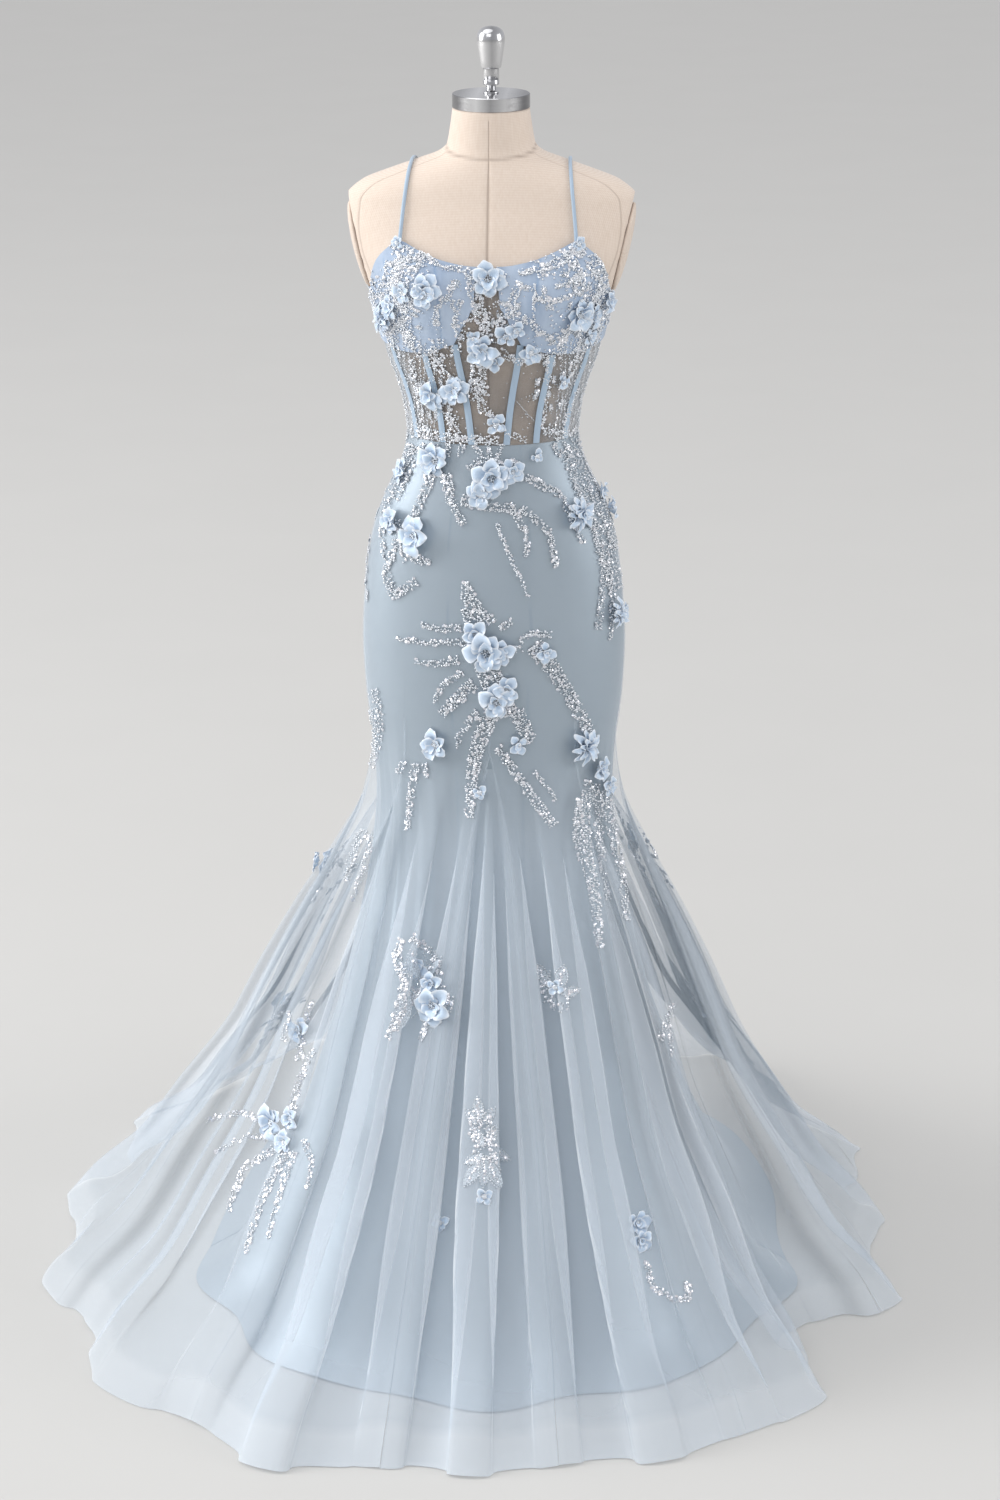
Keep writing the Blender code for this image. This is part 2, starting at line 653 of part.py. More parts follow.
def seam_angle(godet, height):
    """Angle of a seam of the overlay: it swings over from waist to apex."""
    share = (WAIST - height) / (WAIST - godet.apex)
    share = max(0.0, min(1.0, share))
    return godet.waist_angle + (godet.hem_angle - godet.waist_angle) * share


def godet_half(godet, height):
    """Half a godet's angle: it widens evenly from its apex to the hem."""
    if height >= godet.apex:
        return 0.0
    grown = (godet.apex - height) / godet.apex
    hem_radius = hem_fold(godet.hem_angle)[0]
    here = overlay(godet.hem_angle, height)
    return godet.half_spread * grown * hem_radius / Vector((here.x, here.y)).length


def make_overlay(collection):
    """Tulle gores from the waist to the hem, with a godet in each seam."""
    heights = skirt_heights()
    rows = len(heights) - 1
    following = GODETS[1:] + (GODETS[0]._replace(waist_angle=360, hem_angle=360),)
    for name, first, second in zip(PANEL_NAMES, GODETS, following):
        def place(across, up, first=first, second=second):
            height = heights[round((1.0 - up) * rows)]
            low = seam_angle(first, height) + godet_half(first, height)
            high = seam_angle(second, height) - godet_half(second, height)
            low += gap_angle(overlay, low, height)
            high -= gap_angle(overlay, high, height)
            return low + (high - low) * across, height
        add_wall(f"overlay_{name}", overlay, place, PANEL_COLUMNS, rows,
                 OVERLAY_EASE, TULLE_THICK, "tulle", collection)
    for godet in GODETS:
        below = [height for height in heights if height < godet.apex]
        tip = godet.apex - GODET_TIP

        def place(across, up, godet=godet, levels=[tip] + below):
            row = round((1.0 - up) * (len(levels) - 1))
            height = levels[row]
            half = godet_half(godet, min(height, levels[1]))
            if row == 0:
                half *= GODET_TIP / (godet.apex - levels[1])
            half -= gap_angle(overlay, godet.hem_angle, height)
            return godet.hem_angle + (2.0 * across - 1.0) * half, height
        add_wall(f"godet_{godet.name}", overlay, place, GODET_COLUMNS, len(below),
                 OVERLAY_EASE, TULLE_THICK, "tulle", collection)


# ---- the flowers -----------------------------------------------------------
LAYERS = {
    "cup": (body, CUP_EASE + CUP_THICK + 0.0007),
    "gore": (body, CLOTH_EASE + MESH_THICK + 0.0012),
    "midriff": (body, CLOTH_EASE + MESH_THICK),
    "overlay": (overlay, OVERLAY_EASE + TULLE_THICK),
}


def make_flower(flower, collection):
    """Cupped petals round a raised centre, on a small flat foot."""
    surface, depth = LAYERS[flower.layer]
    lift = depth + FLOWER_CLEAR - flower.seat
    centre = moved_out(surface, flower.angle, flower.height, lift)
    outward = normal_at(surface, flower.angle, flower.height)
    across = Vector((0.0, 0.0, 1.0)).cross(outward).normalized()
    upward = outward.cross(across)
    frame = Matrix((across, upward, outward)).transposed()
    steps = 4 * flower.petals
    outline = (1.0, 0.94, 0.62, 0.94)
    levels = ((0.0, 0.30), (0.28, 0.18), (1.0, 0.42), (0.14, 0.0), (0.0, 0.0))
    shape = bmesh.new()
    bmesh.ops.create_uvsphere(shape, u_segments=steps, v_segments=4, radius=1.0)
    for vert in shape.verts:
        ring = round(math.acos(max(-1.0, min(1.0, vert.co.z))) / math.pi * 4)
        reach, rise = levels[ring]
        turn = math.atan2(vert.co.y, vert.co.x)
        step = round(turn / (2 * math.pi) * steps) % 4
        if ring == 2:
            reach *= outline[step]
            rise *= outline[step]
        turn += math.radians(flower.turn)
        local = Vector((math.cos(turn) * reach, math.sin(turn) * reach, rise))
        vert.co = centre + frame @ (local * flower.radius)
    add_mesh(flower.name, shape, "petal_organza", collection)


def main():
    clear_scene()
    collection = bpy.data.collections.new("mermaid_prom_dress")
    bpy.context.scene.collection.children.link(collection)
    make_torso(collection)
    make_arm_plate(1, "form_arm_plate_left", collection)
    make_arm_plate(-1, "form_arm_plate_right", collection)
    make_cap_and_handle(collection)
    make_stand(collection)
    make_bodice(collection)
    make_boning(collection)
    make_zip(collection)
    make_strap(1, "strap_left", collection)
    make_strap(-1, "strap_right", collection)
    make_satin(collection)
    make_overlay(collection)
    for flower in FLOWERS:
        make_flower(flower, collection)


main()
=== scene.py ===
import math
import random

import bpy
import numpy as np
from mathutils import Matrix, Vector
from mathutils.bvhtree import BVHTree


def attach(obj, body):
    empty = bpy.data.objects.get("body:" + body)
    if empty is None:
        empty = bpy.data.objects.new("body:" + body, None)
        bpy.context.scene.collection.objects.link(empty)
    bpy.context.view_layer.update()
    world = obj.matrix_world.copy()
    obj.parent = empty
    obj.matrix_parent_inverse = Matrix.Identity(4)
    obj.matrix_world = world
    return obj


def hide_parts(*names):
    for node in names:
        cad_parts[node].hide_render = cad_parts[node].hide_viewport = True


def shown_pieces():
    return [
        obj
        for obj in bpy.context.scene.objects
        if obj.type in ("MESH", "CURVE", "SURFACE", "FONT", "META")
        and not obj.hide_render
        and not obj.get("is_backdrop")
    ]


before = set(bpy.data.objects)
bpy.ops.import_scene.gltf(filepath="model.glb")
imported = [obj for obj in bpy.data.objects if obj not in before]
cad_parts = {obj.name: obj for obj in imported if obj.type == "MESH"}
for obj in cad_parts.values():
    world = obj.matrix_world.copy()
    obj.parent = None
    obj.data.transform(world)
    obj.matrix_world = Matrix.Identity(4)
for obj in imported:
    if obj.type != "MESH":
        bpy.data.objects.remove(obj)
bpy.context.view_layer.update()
print("frame loaded:", len(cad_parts), "nodes")

# Metres, front towards -Y, the wearer's left is +X. Angles run round the body in
# degrees, 0 at centre front and 90 at the wearer's left side.


# ---- materials ----
class Wire:
    # one output of a material's node, with Python's arithmetic
    def __init__(self, net, socket):
        self.net = net
        self.socket = socket

    def sum(self, operation, first, second):
        return self.net.node("Math", {"operation": operation}, {0: first, 1: second})

    def __add__(self, other):
        return self.sum("ADD", self, other)

    def __radd__(self, other):
        return self.sum("ADD", other, self)

    def __sub__(self, other):
        return self.sum("SUBTRACT", self, other)

    def __rsub__(self, other):
        return self.sum("SUBTRACT", other, self)

    def __mul__(self, other):
        return self.sum("MULTIPLY", self, other)

    def __rmul__(self, other):
        return self.sum("MULTIPLY", other, self)

    def __truediv__(self, other):
        return self.sum("DIVIDE", self, other)

    def __pow__(self, other):
        return self.sum("POWER", self, other)


class Net:
    # a material and its nodes
    def __init__(self, name):
        self.material = bpy.data.materials.new(name)
        self.material.use_nodes = True
        self.tree = self.material.node_tree
        self.shader = self.tree.nodes["Principled BSDF"]

    def node(self, kind, settings=None, sockets=None, out=0):
        made = self.tree.nodes.new("ShaderNode" + kind)
        for key, value in (settings or {}).items():
            if key == "stops":
                stops = made.color_ramp.elements
                while len(stops) < len(value):
                    stops.new(0.5)
                for stop, (place, colour) in zip(stops, value):
                    stop.position = place
                    stop.color = (*colour, 1.0)
            else:
                setattr(made, key, value)
        for key, value in (sockets or {}).items():
            self.join(value, made.inputs[key])
        return Wire(self, made.outputs[out])

    def join(self, value, socket):
        if isinstance(value, Wire):
            self.tree.links.new(value.socket, socket)
        elif isinstance(value, tuple) and len(value) == 3 and socket.type == "RGBA":
            socket.default_value = (*value, 1.0)
        else:
            socket.default_value = value

    def shade(self, values):
        for key, value in values.items():
            self.join(value, self.shader.inputs[key])
        return self.material

    def place(self, spot="Object"):
        return self.node("TexCoord", None, None, spot)

    def mapped(self, scale, spot="Object", turn=(0, 0, 0)):
        return self.node("Mapping", None, {"Vector": self.place(spot), "Scale": scale, "Rotation": turn})

    def noise(self, scale, detail=2.0, vector=None, rough=0.5):
        return self.node("TexNoise", None, {
            "Vector": vector or self.place(), "Scale": scale, "Detail": detail, "Roughness": rough})

    def wave(self, scale, direction, vector, distort=0.0):
        return self.node("TexWave", {"bands_direction": direction}, {
            "Vector": vector, "Scale": scale, "Distortion": distort, "Detail": 1.0}, "Fac")

    def blend(self, share, first, second):
        return self.node("Mix", {"data_type": "RGBA"}, {0: share, 6: first, 7: second}, 2)

    def clamp(self, value, low, high, newLow=0.0, newHigh=1.0):
        return self.node("MapRange", None, {
            "Value": value, "From Min": low, "From Max": high, "To Min": newLow, "To Max": newHigh})

    def bump(self, height, strength, distance):
        return self.node("Bump", None, {"Height": height, "Strength": strength, "Distance": distance})

    def attribute(self, name):
        return self.node("Attribute", {"attribute_name": name}, None, "Fac")


def weave(net, threads, spot="UV"):
    # plain weave: threads over and under, so many to the metre
    vector = net.mapped((1, 1, 1), spot)
    return net.wave(threads, "X", vector) * 0.5 + net.wave(threads, "Y", vector) * 0.5


def linenFinish():
    net = Net("creamLinen")
    threads = weave(net, 160.0)
    slub = net.noise(420.0, 2.0, net.mapped((1, 1, 0.12)))
    mottle = net.noise(9.0, 3.0)
    share = net.clamp(threads * 0.5 + slub * 0.5, 0.3, 0.75)
    cloth = net.blend(share, (0.69, 0.565, 0.465), (0.80, 0.695, 0.605))
    seam = net.attribute("seam")
    cloth = net.blend(mottle * 0.16, cloth, (0.72, 0.60, 0.51))
    cloth = net.blend(seam * 0.75, cloth, (0.36, 0.28, 0.23))
    return net.shade({
        "Base Color": cloth, "Roughness": 0.86, "Sheen Weight": 0.25, "Sheen Roughness": 0.5,
        "Normal": net.bump(threads * 0.6 + slub * 0.4, 0.35, 0.0004)})


def chromeWithPaintedReflections():
    # brushed round its axis, which shows as a fine smear; the upright bands of dark and light across it, from left to
    # right, are painted reflections
    net = Net("brushedChrome")
    paintedReflectionBands = net.node("ValToRGB", {"stops": (
        (0.10, (0.34, 0.34, 0.35)), (0.34, (0.95, 0.95, 0.96)), (0.52, (0.42, 0.42, 0.43)),
        (0.70, (0.80, 0.80, 0.81)), (0.92, (0.22, 0.22, 0.23)))}, {
            "Fac": net.clamp(net.node("SeparateXYZ", None, {"Vector": net.place()}), -0.052, 0.052)})
    smear = net.noise(26.0, 3.0, net.mapped((1, 1, 9)))
    return net.shade({
        "Base Color": net.blend(smear * 0.25, paintedReflectionBands, (0.62, 0.62, 0.64)), "Metallic": 1.0,
        "Roughness": net.clamp(smear, 0.2, 0.8, 0.12, 0.24)})


def steelFinish():
    net = Net("paintedSteel")
    grain = net.noise(900.0, 1.0)
    return net.shade({
        "Base Color": net.blend(net.noise(14.0) * 0.3, (0.74, 0.74, 0.73), (0.62, 0.62, 0.62)),
        "Roughness": net.clamp(grain, 0.2, 0.8, 0.34, 0.46), "Normal": net.bump(grain, 0.15, 0.0002)})


def satinFinish():
    net = Net("duskyBlueSatin")
    twill = net.wave(900.0, "DIAGONAL", net.mapped((1, 1, 1), "UV"))
    soft = net.noise(5.0, 3.0, net.mapped((1, 1, 0.35)))
    cloth = net.blend(net.clamp(soft, 0.3, 0.7), (0.30, 0.365, 0.42), (0.375, 0.44, 0.495))
    seam = net.attribute("seam")
    cloth = net.blend(seam * 0.5, cloth, (0.20, 0.29, 0.37))
    return net.shade({
        "Base Color": cloth, "Roughness": net.clamp(soft, 0.3, 0.7, 0.33, 0.43), "Metallic": 0.45,
        "Sheen Weight": 0.9, "Sheen Roughness": 0.4, "Sheen Tint": (0.88, 0.94, 1.0), "Specular IOR Level": 0.5,
        "Normal": net.bump(twill, 0.12, 0.0002)})


def netFinish(name, dark, pale):
    # fine net, see-through by its cover, paler at seams and with a painted highlight along the tulle's fold lines
    net = Net(name)
    return net.shade({
        "Base Color": net.blend(net.attribute("fold"), dark, pale), "Roughness": 0.7,
        "Alpha": net.attribute("cover"), "Specular IOR Level": 0.15})


def cupFinish():
    net = Net("lightBlueCup")
    gather = net.noise(60.0, 3.0, net.mapped((1, 1, 0.16)))
    threads = weave(net, 420.0)
    cloth = net.blend(net.clamp(gather, 0.3, 0.7), (0.35, 0.445, 0.59), (0.49, 0.58, 0.71))
    cloth = net.blend(net.attribute("seam") * 0.65, cloth, (0.22, 0.36, 0.56))
    return net.shade({
        "Base Color": cloth, "Roughness": 0.58, "Sheen Weight": 0.4, "Sheen Roughness": 0.4,
        "Normal": net.bump(gather * 0.7 + threads * 0.3, 0.3, 0.0008)})


def petalFinish():
    net = Net("blueOrganza")
    vein = net.wave(260.0, "X", net.mapped((1, 1, 1), "UV"), 3.0)
    rim = net.attribute("rim")
    cloth = net.blend(net.clamp(vein * 0.35 + rim, 0.0, 1.0), (0.50, 0.64, 0.81), (0.86, 0.91, 0.97))
    return net.shade({
        "Base Color": cloth, "Roughness": 0.5, "Sheen Weight": 0.4, "Sheen Roughness": 0.35,
        "Specular IOR Level": 0.4, "Normal": net.bump(vein, 0.25, 0.0003)})


def ribbonFinish():
    net = Net("blueRibbon")
    rib = net.wave(700.0, "Y", net.mapped((1, 1, 1), "UV"))
    cloth = net.blend(rib * 0.4, (0.36, 0.475, 0.60), (0.50, 0.62, 0.74))
    return net.shade({
        "Base Color": cloth, "Roughness": 0.42, "Sheen Weight": 0.3, "Normal": net.bump(rib, 0.25, 0.0002)})


def beadFinish():
    net = Net("silverLinedBead")
    tone = net.noise(900.0, 1.0)
    return net.shade({
        "Base Color": net.blend(net.clamp(tone, 0.38, 0.62), (0.58, 0.62, 0.66), (0.95, 0.97, 1.0)),
        "Metallic": 0.45, "Roughness": 0.12, "Coat Weight": 0.6})


def sequinFinish():
    net = Net("pearlSequin")
    tone = net.noise(520.0, 1.0)
    tint = net.node("ValToRGB", {"stops": (
        (0.30, (0.55, 0.62, 0.70)), (0.47, (0.90, 0.91, 0.96)),
        (0.60, (0.95, 0.91, 0.93)), (0.72, (0.62, 0.70, 0.76)))}, {"Fac": tone})
    return net.shade({"Base Color": tint, "Metallic": 0.7, "Roughness": 0.18, "Coat Weight": 0.4})


def threadFinish():
    net = Net("whiteEmbroidery")
    stitch = net.noise(1300.0, 1.0, net.mapped((1, 1, 0.25)))
    return net.shade({
        "Base Color": net.blend(net.clamp(stitch, 0.35, 0.65), (0.42, 0.50, 0.58), (0.80, 0.86, 0.92)),
        "Alpha": net.clamp(stitch, 0.40, 0.56, 0.22, 0.85), "Roughness": 0.4, "Metallic": 0.3, "Normal": net.bump(stitch, 0.5, 0.0004)})


def stageFinish(name, colour):
    net = Net(name)
    grain = net.noise(3.0, 2.0)
    lower = tuple(part * 0.97 for part in colour)
    return net.shade({"Base Color": net.blend(grain, lower, colour), "Roughness": 0.9})


finishes = {
    "linen": linenFinish(), "chrome": chromeWithPaintedReflections(), "painted_steel": steelFinish(),
    "satin": satinFinish(), "cup_tulle": cupFinish(), "petal_organza": petalFinish(),
    "ribbon": ribbonFinish(),
    # the sheer mesh's dark grey is partly its own colour and partly painted shade over the linen form seen through it
    "sheer_mesh": netFinish("sheerCorsetMesh", (0.19, 0.20, 0.212), (0.70, 0.76, 0.82)),
    "tulle": netFinish("paleBlueTulle", (0.70, 0.775, 0.85), (0.94, 0.965, 0.99)),
}
beadMaterial, sequinMaterial, threadMaterial = beadFinish(), sequinFinish(), threadFinish()
print("materials ready:", len(bpy.data.materials))

# ---- the shapes under the cloth, as in the part's own tables ----
bodyRows = (  # height, half width, front, back
    (1.6547, 0.0500, 0.0500, 0.0500), (1.6300, 0.0535, 0.0520, 0.0540),
    (1.6080, 0.0580, 0.0535, 0.0580), (1.5970, 0.0700, 0.0555, 0.0640),
    (1.5860, 0.1000, 0.0600, 0.0690), (1.5740, 0.1350, 0.0655, 0.0740),
    (1.5600, 0.1700, 0.0710, 0.0800), (1.5400, 0.1900, 0.0780, 0.0870),
    (1.5100, 0.1930, 0.0900, 0.0940), (1.4800, 0.1885, 0.0995, 0.0965),
    (1.4550, 0.1790, 0.1050, 0.0965), (1.4280, 0.1655, 0.1075, 0.0955),
    (1.4010, 0.1530, 0.1065, 0.0930), (1.3700, 0.1460, 0.1020, 0.0900),
    (1.3350, 0.1375, 0.0925, 0.0860), (1.3000, 0.1250, 0.0840, 0.0820),
    (1.2650, 0.1155, 0.0810, 0.0780), (1.2255, 0.1110, 0.0800, 0.0765),
    (1.1850, 0.1200, 0.0850, 0.0830), (1.1400, 0.1415, 0.0910, 0.0960),
    (1.0800, 0.1620, 0.0965, 0.1110), (1.0100, 0.1715, 0.1010, 0.1205),
    (0.9400, 0.1755, 0.1040, 0.1215), (0.8700, 0.1725, 0.1040, 0.1170),
    (0.8000, 0.1640, 0.1015, 0.1110),
)
skirtRows = (  # height, half width, front, back, flare, valley
    (0.8000, 0.1640, 0.1015, 0.1110, 0.000, 0.000), (0.7200, 0.1600, 0.1030, 0.1150, 0.030, 0.086),
    (0.6300, 0.1680, 0.1140, 0.1380, 0.125, 0.233), (0.5300, 0.1870, 0.1500, 0.1880, 0.250, 0.379),
    (0.4300, 0.2110, 0.1920, 0.2450, 0.365, 0.494), (0.3300, 0.2420, 0.2430, 0.3200, 0.470, 0.590),
    (0.2200, 0.2790, 0.3050, 0.4150, 0.630, 0.724), (0.1200, 0.3250, 0.3620, 0.5200, 0.775, 0.837),
    (0.0500, 0.3600, 0.4020, 0.6100, 0.925, 0.947), (0.0180, 0.3880, 0.4240, 0.6600, 0.975, 0.982),
    (0.0020, 0.4200, 0.4370, 0.7000, 1.000, 1.000),
)
hemFolds = (  # angle, radius at the crest, depth of the valley after it
    (-180, 0.860, 0.060), (-152, 0.820, 0.060), (-128, 0.740, 0.060), (-104, 0.675, 0.050),
    (-81, 0.657, 0.055), (-50, 0.664, 0.045), (-24, 0.669, 0.030), (0, 0.618, 0.025),
    (26, 0.622, 0.020), (46, 0.624, 0.140), (80, 0.592, 0.050), (104, 0.580, 0.045),
    (128, 0.670, 0.060), (152, 0.790, 0.060), (180, 0.860, 0.060),
)
godets = (  # name, angle at the waist, at the hem, apex, half its spread
    ("centre_front", 0, 0, 0.80, 11), ("front_left", 27, 46, 0.72, 10),
    ("side_left", 90, 84, 0.72, 9), ("back_left", 150, 130, 0.72, 11),
    ("centre_back", 180, 180, 0.72, 12), ("back_right", 210, 230, 0.72, 11),
    ("side_right", 270, 276, 0.72, 10), ("front_right", 333, 312, 0.72, 11),
)
panelNames = ("front_left", "side_front_left", "side_back_left", "back_left",
              "back_right", "side_back_right", "side_front_right", "front_right")
neckline = ((0, 1.4660), (9, 1.4670), (19, 1.4735), (28, 1.4845), (36, 1.4975), (50, 1.4700),
            (65, 1.4300), (90, 1.4010), (120, 1.3720), (150, 1.3480), (180, 1.3380))
underbust = ((0, 1.3680), (17, 1.3680), (30, 1.3530), (48, 1.3480), (68, 1.3520), (90, 1.3580))
cupGore = ((0.0, 17.0), (0.5, 6.0), (1.0, 4.0))
sizes = {
    "seamGap": 0.0003, "clothEase": 0.0016, "meshThick": 0.0010, "cupEase": 0.0026, "cupThick": 0.0030,
    "satinEase": 0.0008, "satinThick": 0.0012, "overlayEase": 0.0028, "tulleThick": 0.0006,
    "waist": 1.2255, "flareTop": 0.80, "formEnd": 0.87, "formUnderside": 0.845,
}


def fineTable(rows):
    # a smooth curve through the rows that never runs past them, read every millimetre
    rows = np.array(sorted(rows))
    knots = rows[:, 0]
    fine = np.linspace(knots[0], knots[-1], int((knots[-1] - knots[0]) * 1000) + 2)
    index = np.clip(np.searchsorted(knots, fine) - 1, 0, len(knots) - 2)
    step = knots[index + 1] - knots[index]
    share = (fine - knots[index]) / step
    table = [fine]
    for column in rows[:, 1:].T:
        slope = np.diff(column) / np.diff(knots)
        product = slope[:-1] * slope[1:]
        total = slope[:-1] + slope[1:]
        tangent = np.concatenate(([slope[0]], np.zeros(len(slope) - 1), [slope[-1]]))
        same = product > 0
        tangent[1:-1][same] = 2 * product[same] / total[same]
        low, high = column[index], column[index + 1]
        into, out = tangent[index] * step, tangent[index + 1] * step
        cube, square = share ** 3, share ** 2
        table.append((2 * cube - 3 * square + 1) * low + (cube - 2 * square + share) * into
                     + (3 * square - 2 * cube) * high + (cube - square) * out)
    return np.array(table)


bodyTable = fineTable(bodyRows)
satinTable = fineTable(bodyRows + tuple(row[:4] for row in skirtRows[1:]))
flareTable = fineTable(((1.30, 0.0, 0.0), (0.85, 0.0, 0.0)) + tuple((row[0], *row[4:]) for row in skirtRows))


def read(table, column, height):
    return np.interp(height, table[0], table[column])


def sectionPoints(table, angle, height):
    turn = np.radians(angle)
    front, back = read(table, 2, height), read(table, 3, height)
    lean = np.cos(turn)
    depth = np.where(lean > 0, front, back)
    return np.stack((read(table, 1, height) * np.sin(turn), -depth * lean, height + 0.0 * turn), -1)


def bodyPoints(angle, height):
    points = sectionPoints(bodyTable, angle, height)
    across = (np.abs((angle + 180.0) % 360.0 - 180.0) - 33.0) / 21.0
    up = (height - 1.428) / 0.052
    points[..., 1] -= 0.019 * np.exp(-across * across - up * up)
    return points


def satinPoints(angle, height):
    points = sectionPoints(satinTable, angle, height)
    bust = bodyPoints(angle, np.maximum(height, 0.8))[..., 1]
    points[..., 1] = np.where(height > 1.1, bust, points[..., 1])
    turn = np.radians(angle)
    flare = read(flareTable, 1, height)
    wave = 0.011 * np.cos(9 * turn) + 0.005 * np.sin(14 * turn + 0.8)
    outward = np.stack((np.sin(turn), -np.cos(turn), 0 * turn), -1)
    return points + outward * (wave * flare)[..., None]


def hemFold(angle):
    rows = np.array(hemFolds, dtype=float)
    turn = (angle + 180.0) % 360.0 - 180.0
    index = np.clip(np.searchsorted(rows[:, 0], turn) - 1, 0, len(rows) - 2)
    share = (turn - rows[index, 0]) / (rows[index + 1, 0] - rows[index, 0])
    eased = share * share * (3 - 2 * share)
    radius = rows[index, 1] + (rows[index + 1, 1] - rows[index, 1]) * eased
    return radius, rows[index, 2] * np.sin(np.pi * share) ** 2


def overlayPoints(angle, height):
    turn = np.radians(angle)
    outward = np.stack((np.sin(turn), -np.cos(turn), 0 * turn), -1)
    radius, dip = hemFold(angle)
    flare, valley = read(flareTable, 1, height), read(flareTable, 2, height)
    hip = bodyPoints(angle, np.maximum(height, sizes["flareTop"]))
    points = hip + (outward * radius[..., None] - hip) * flare[..., None] - outward * (dip * valley)[..., None]
    points[..., 2] = height + 0.0 * turn
    return points


def outwardAt(surface, angle, height):
    around = surface(angle + 0.3, height) - surface(angle - 0.3, height)
    upward = surface(angle, height + 0.001) - surface(angle, height - 0.001)
    outward = np.cross(around, upward)
    return outward / np.linalg.norm(outward, axis=-1, keepdims=True)


def edgeHeight(edge, angle):
    edge = np.array(edge)
    return np.interp(np.abs(angle), edge[:, 0], edge[:, 1])


def smoothEdge(edge, angle, reach=4.0):
    # the edge with its corners eased
    return sum(edgeHeight(edge, angle + shift * reach / 3) for shift in (-3, -2, -1, 0, 1, 2, 3)) / 7


# ---- finishing a piece ----
clothPieces = {}


def finishPiece(piece, finish, nodes=(), material=None):
    piece.data.materials.clear()
    piece.data.materials.append(material or finishes[finish])
    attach(piece, "root")
    if nodes:
        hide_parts(*nodes)
    return piece


def meshPiece(name, points, faces, smooth=True):
    data = bpy.data.meshes.new(name)
    data.from_pydata(points, [], faces)
    if smooth:
        data.shade_smooth()
    piece = bpy.data.objects.new(name, data)
    bpy.context.scene.collection.objects.link(piece)
    return piece


def clothWall(name, points, thick, fold=None, seam=None, cover=None):
    # a closed wall whose inner side is the grid of points, thick metres outwards
    rows, columns = points.shape[:2]
    around = np.gradient(points, axis=1)
    downward = np.gradient(points, axis=0)
    outward = np.cross(downward, around)
    outward /= np.maximum(np.linalg.norm(outward, axis=-1, keepdims=True), 1e-12)
    outer = points + outward * thick
    both = np.concatenate((outer.reshape(-1, 3), points.reshape(-1, 3)))
    index = np.arange(rows * columns).reshape(rows, columns)
    one, two = index[:-1, :-1].ravel(), index[:-1, 1:].ravel()
    three, four = index[1:, 1:].ravel(), index[1:, :-1].ravel()
    shift = rows * columns
    faces = [*np.stack((one, four, three, two), -1).tolist(),
             *(np.stack((one, two, three, four), -1) + shift).tolist()]
    rim = np.concatenate((index[0, :], index[1:, -1], index[-1, -2::-1], index[-2:0:-1, 0]))
    following = np.roll(rim, -1)
    faces += np.stack((rim, following, following + shift, rim + shift), -1).tolist()
    piece = meshPiece(name, both.tolist(), faces)
    data = piece.data
    lengths = np.linalg.norm(np.diff(points, axis=0), axis=-1)
    down = np.concatenate((np.zeros((1, columns)), np.cumsum(lengths, axis=0)))
    widths = np.linalg.norm(np.diff(points, axis=1), axis=-1)
    along = np.concatenate((np.zeros((rows, 1)), np.cumsum(widths, axis=1)), axis=1)
    along -= 0.5 * along[:, -1:]
    spots = np.stack((along, -down), -1).reshape(-1, 2)
    spots = np.concatenate((spots, spots))
    corners = np.empty(len(data.loops), dtype=np.int32)
    data.loops.foreach_get("vertex_index", corners)
    data.uv_layers.new(name="cloth").data.foreach_set("uv", spots[corners].ravel())
    for label, values in (("fold", fold), ("seam", seam), ("cover", cover)):
        if values is None:
            values = np.zeros((rows, columns))
        layer = data.attributes.new(label, "FLOAT", "POINT")
        layer.data.foreach_set("value", np.concatenate((values.ravel(), values.ravel())).astype(np.float32))
    data.set_sharp_from_angle(angle=math.radians(60))
    area = float((0.5 * np.linalg.norm(np.cross(points[1:, 1:] - points[:-1, :-1],
                                                points[1:, :-1] - points[:-1, 1:]), axis=-1)).sum())
    cut = (float(along[:, -1].max() - along[:, 0].min()), float(down[-1].mean()), area)
    clothPieces[name] = cut
    return piece


def declareSheet(piece):
    width, length, area = clothPieces[piece.name]
    area = max(0.31 * width * length, min(width * length, area))
    print(f"  cut of {piece.name}: {width:.3f} x {length:.3f} m, {area:.3f} m2")


def nearLines(values, lines, reach):
    # 1 on any of the lines, falling to 0 at reach from it
    nearest = np.min([np.abs(values - line) for line in lines], axis=0)
    return np.clip(1.0 - nearest / reach, 0.0, 1.0)


# ---- the dress form ----
formSizes = {"columns": 132, "seamAngles": (0, 62, -62, 118, -118, 180), "seamDeep": 0.0008}


def armPlane(height):
    return 0.1855 - 0.241 * (1.54 - height)


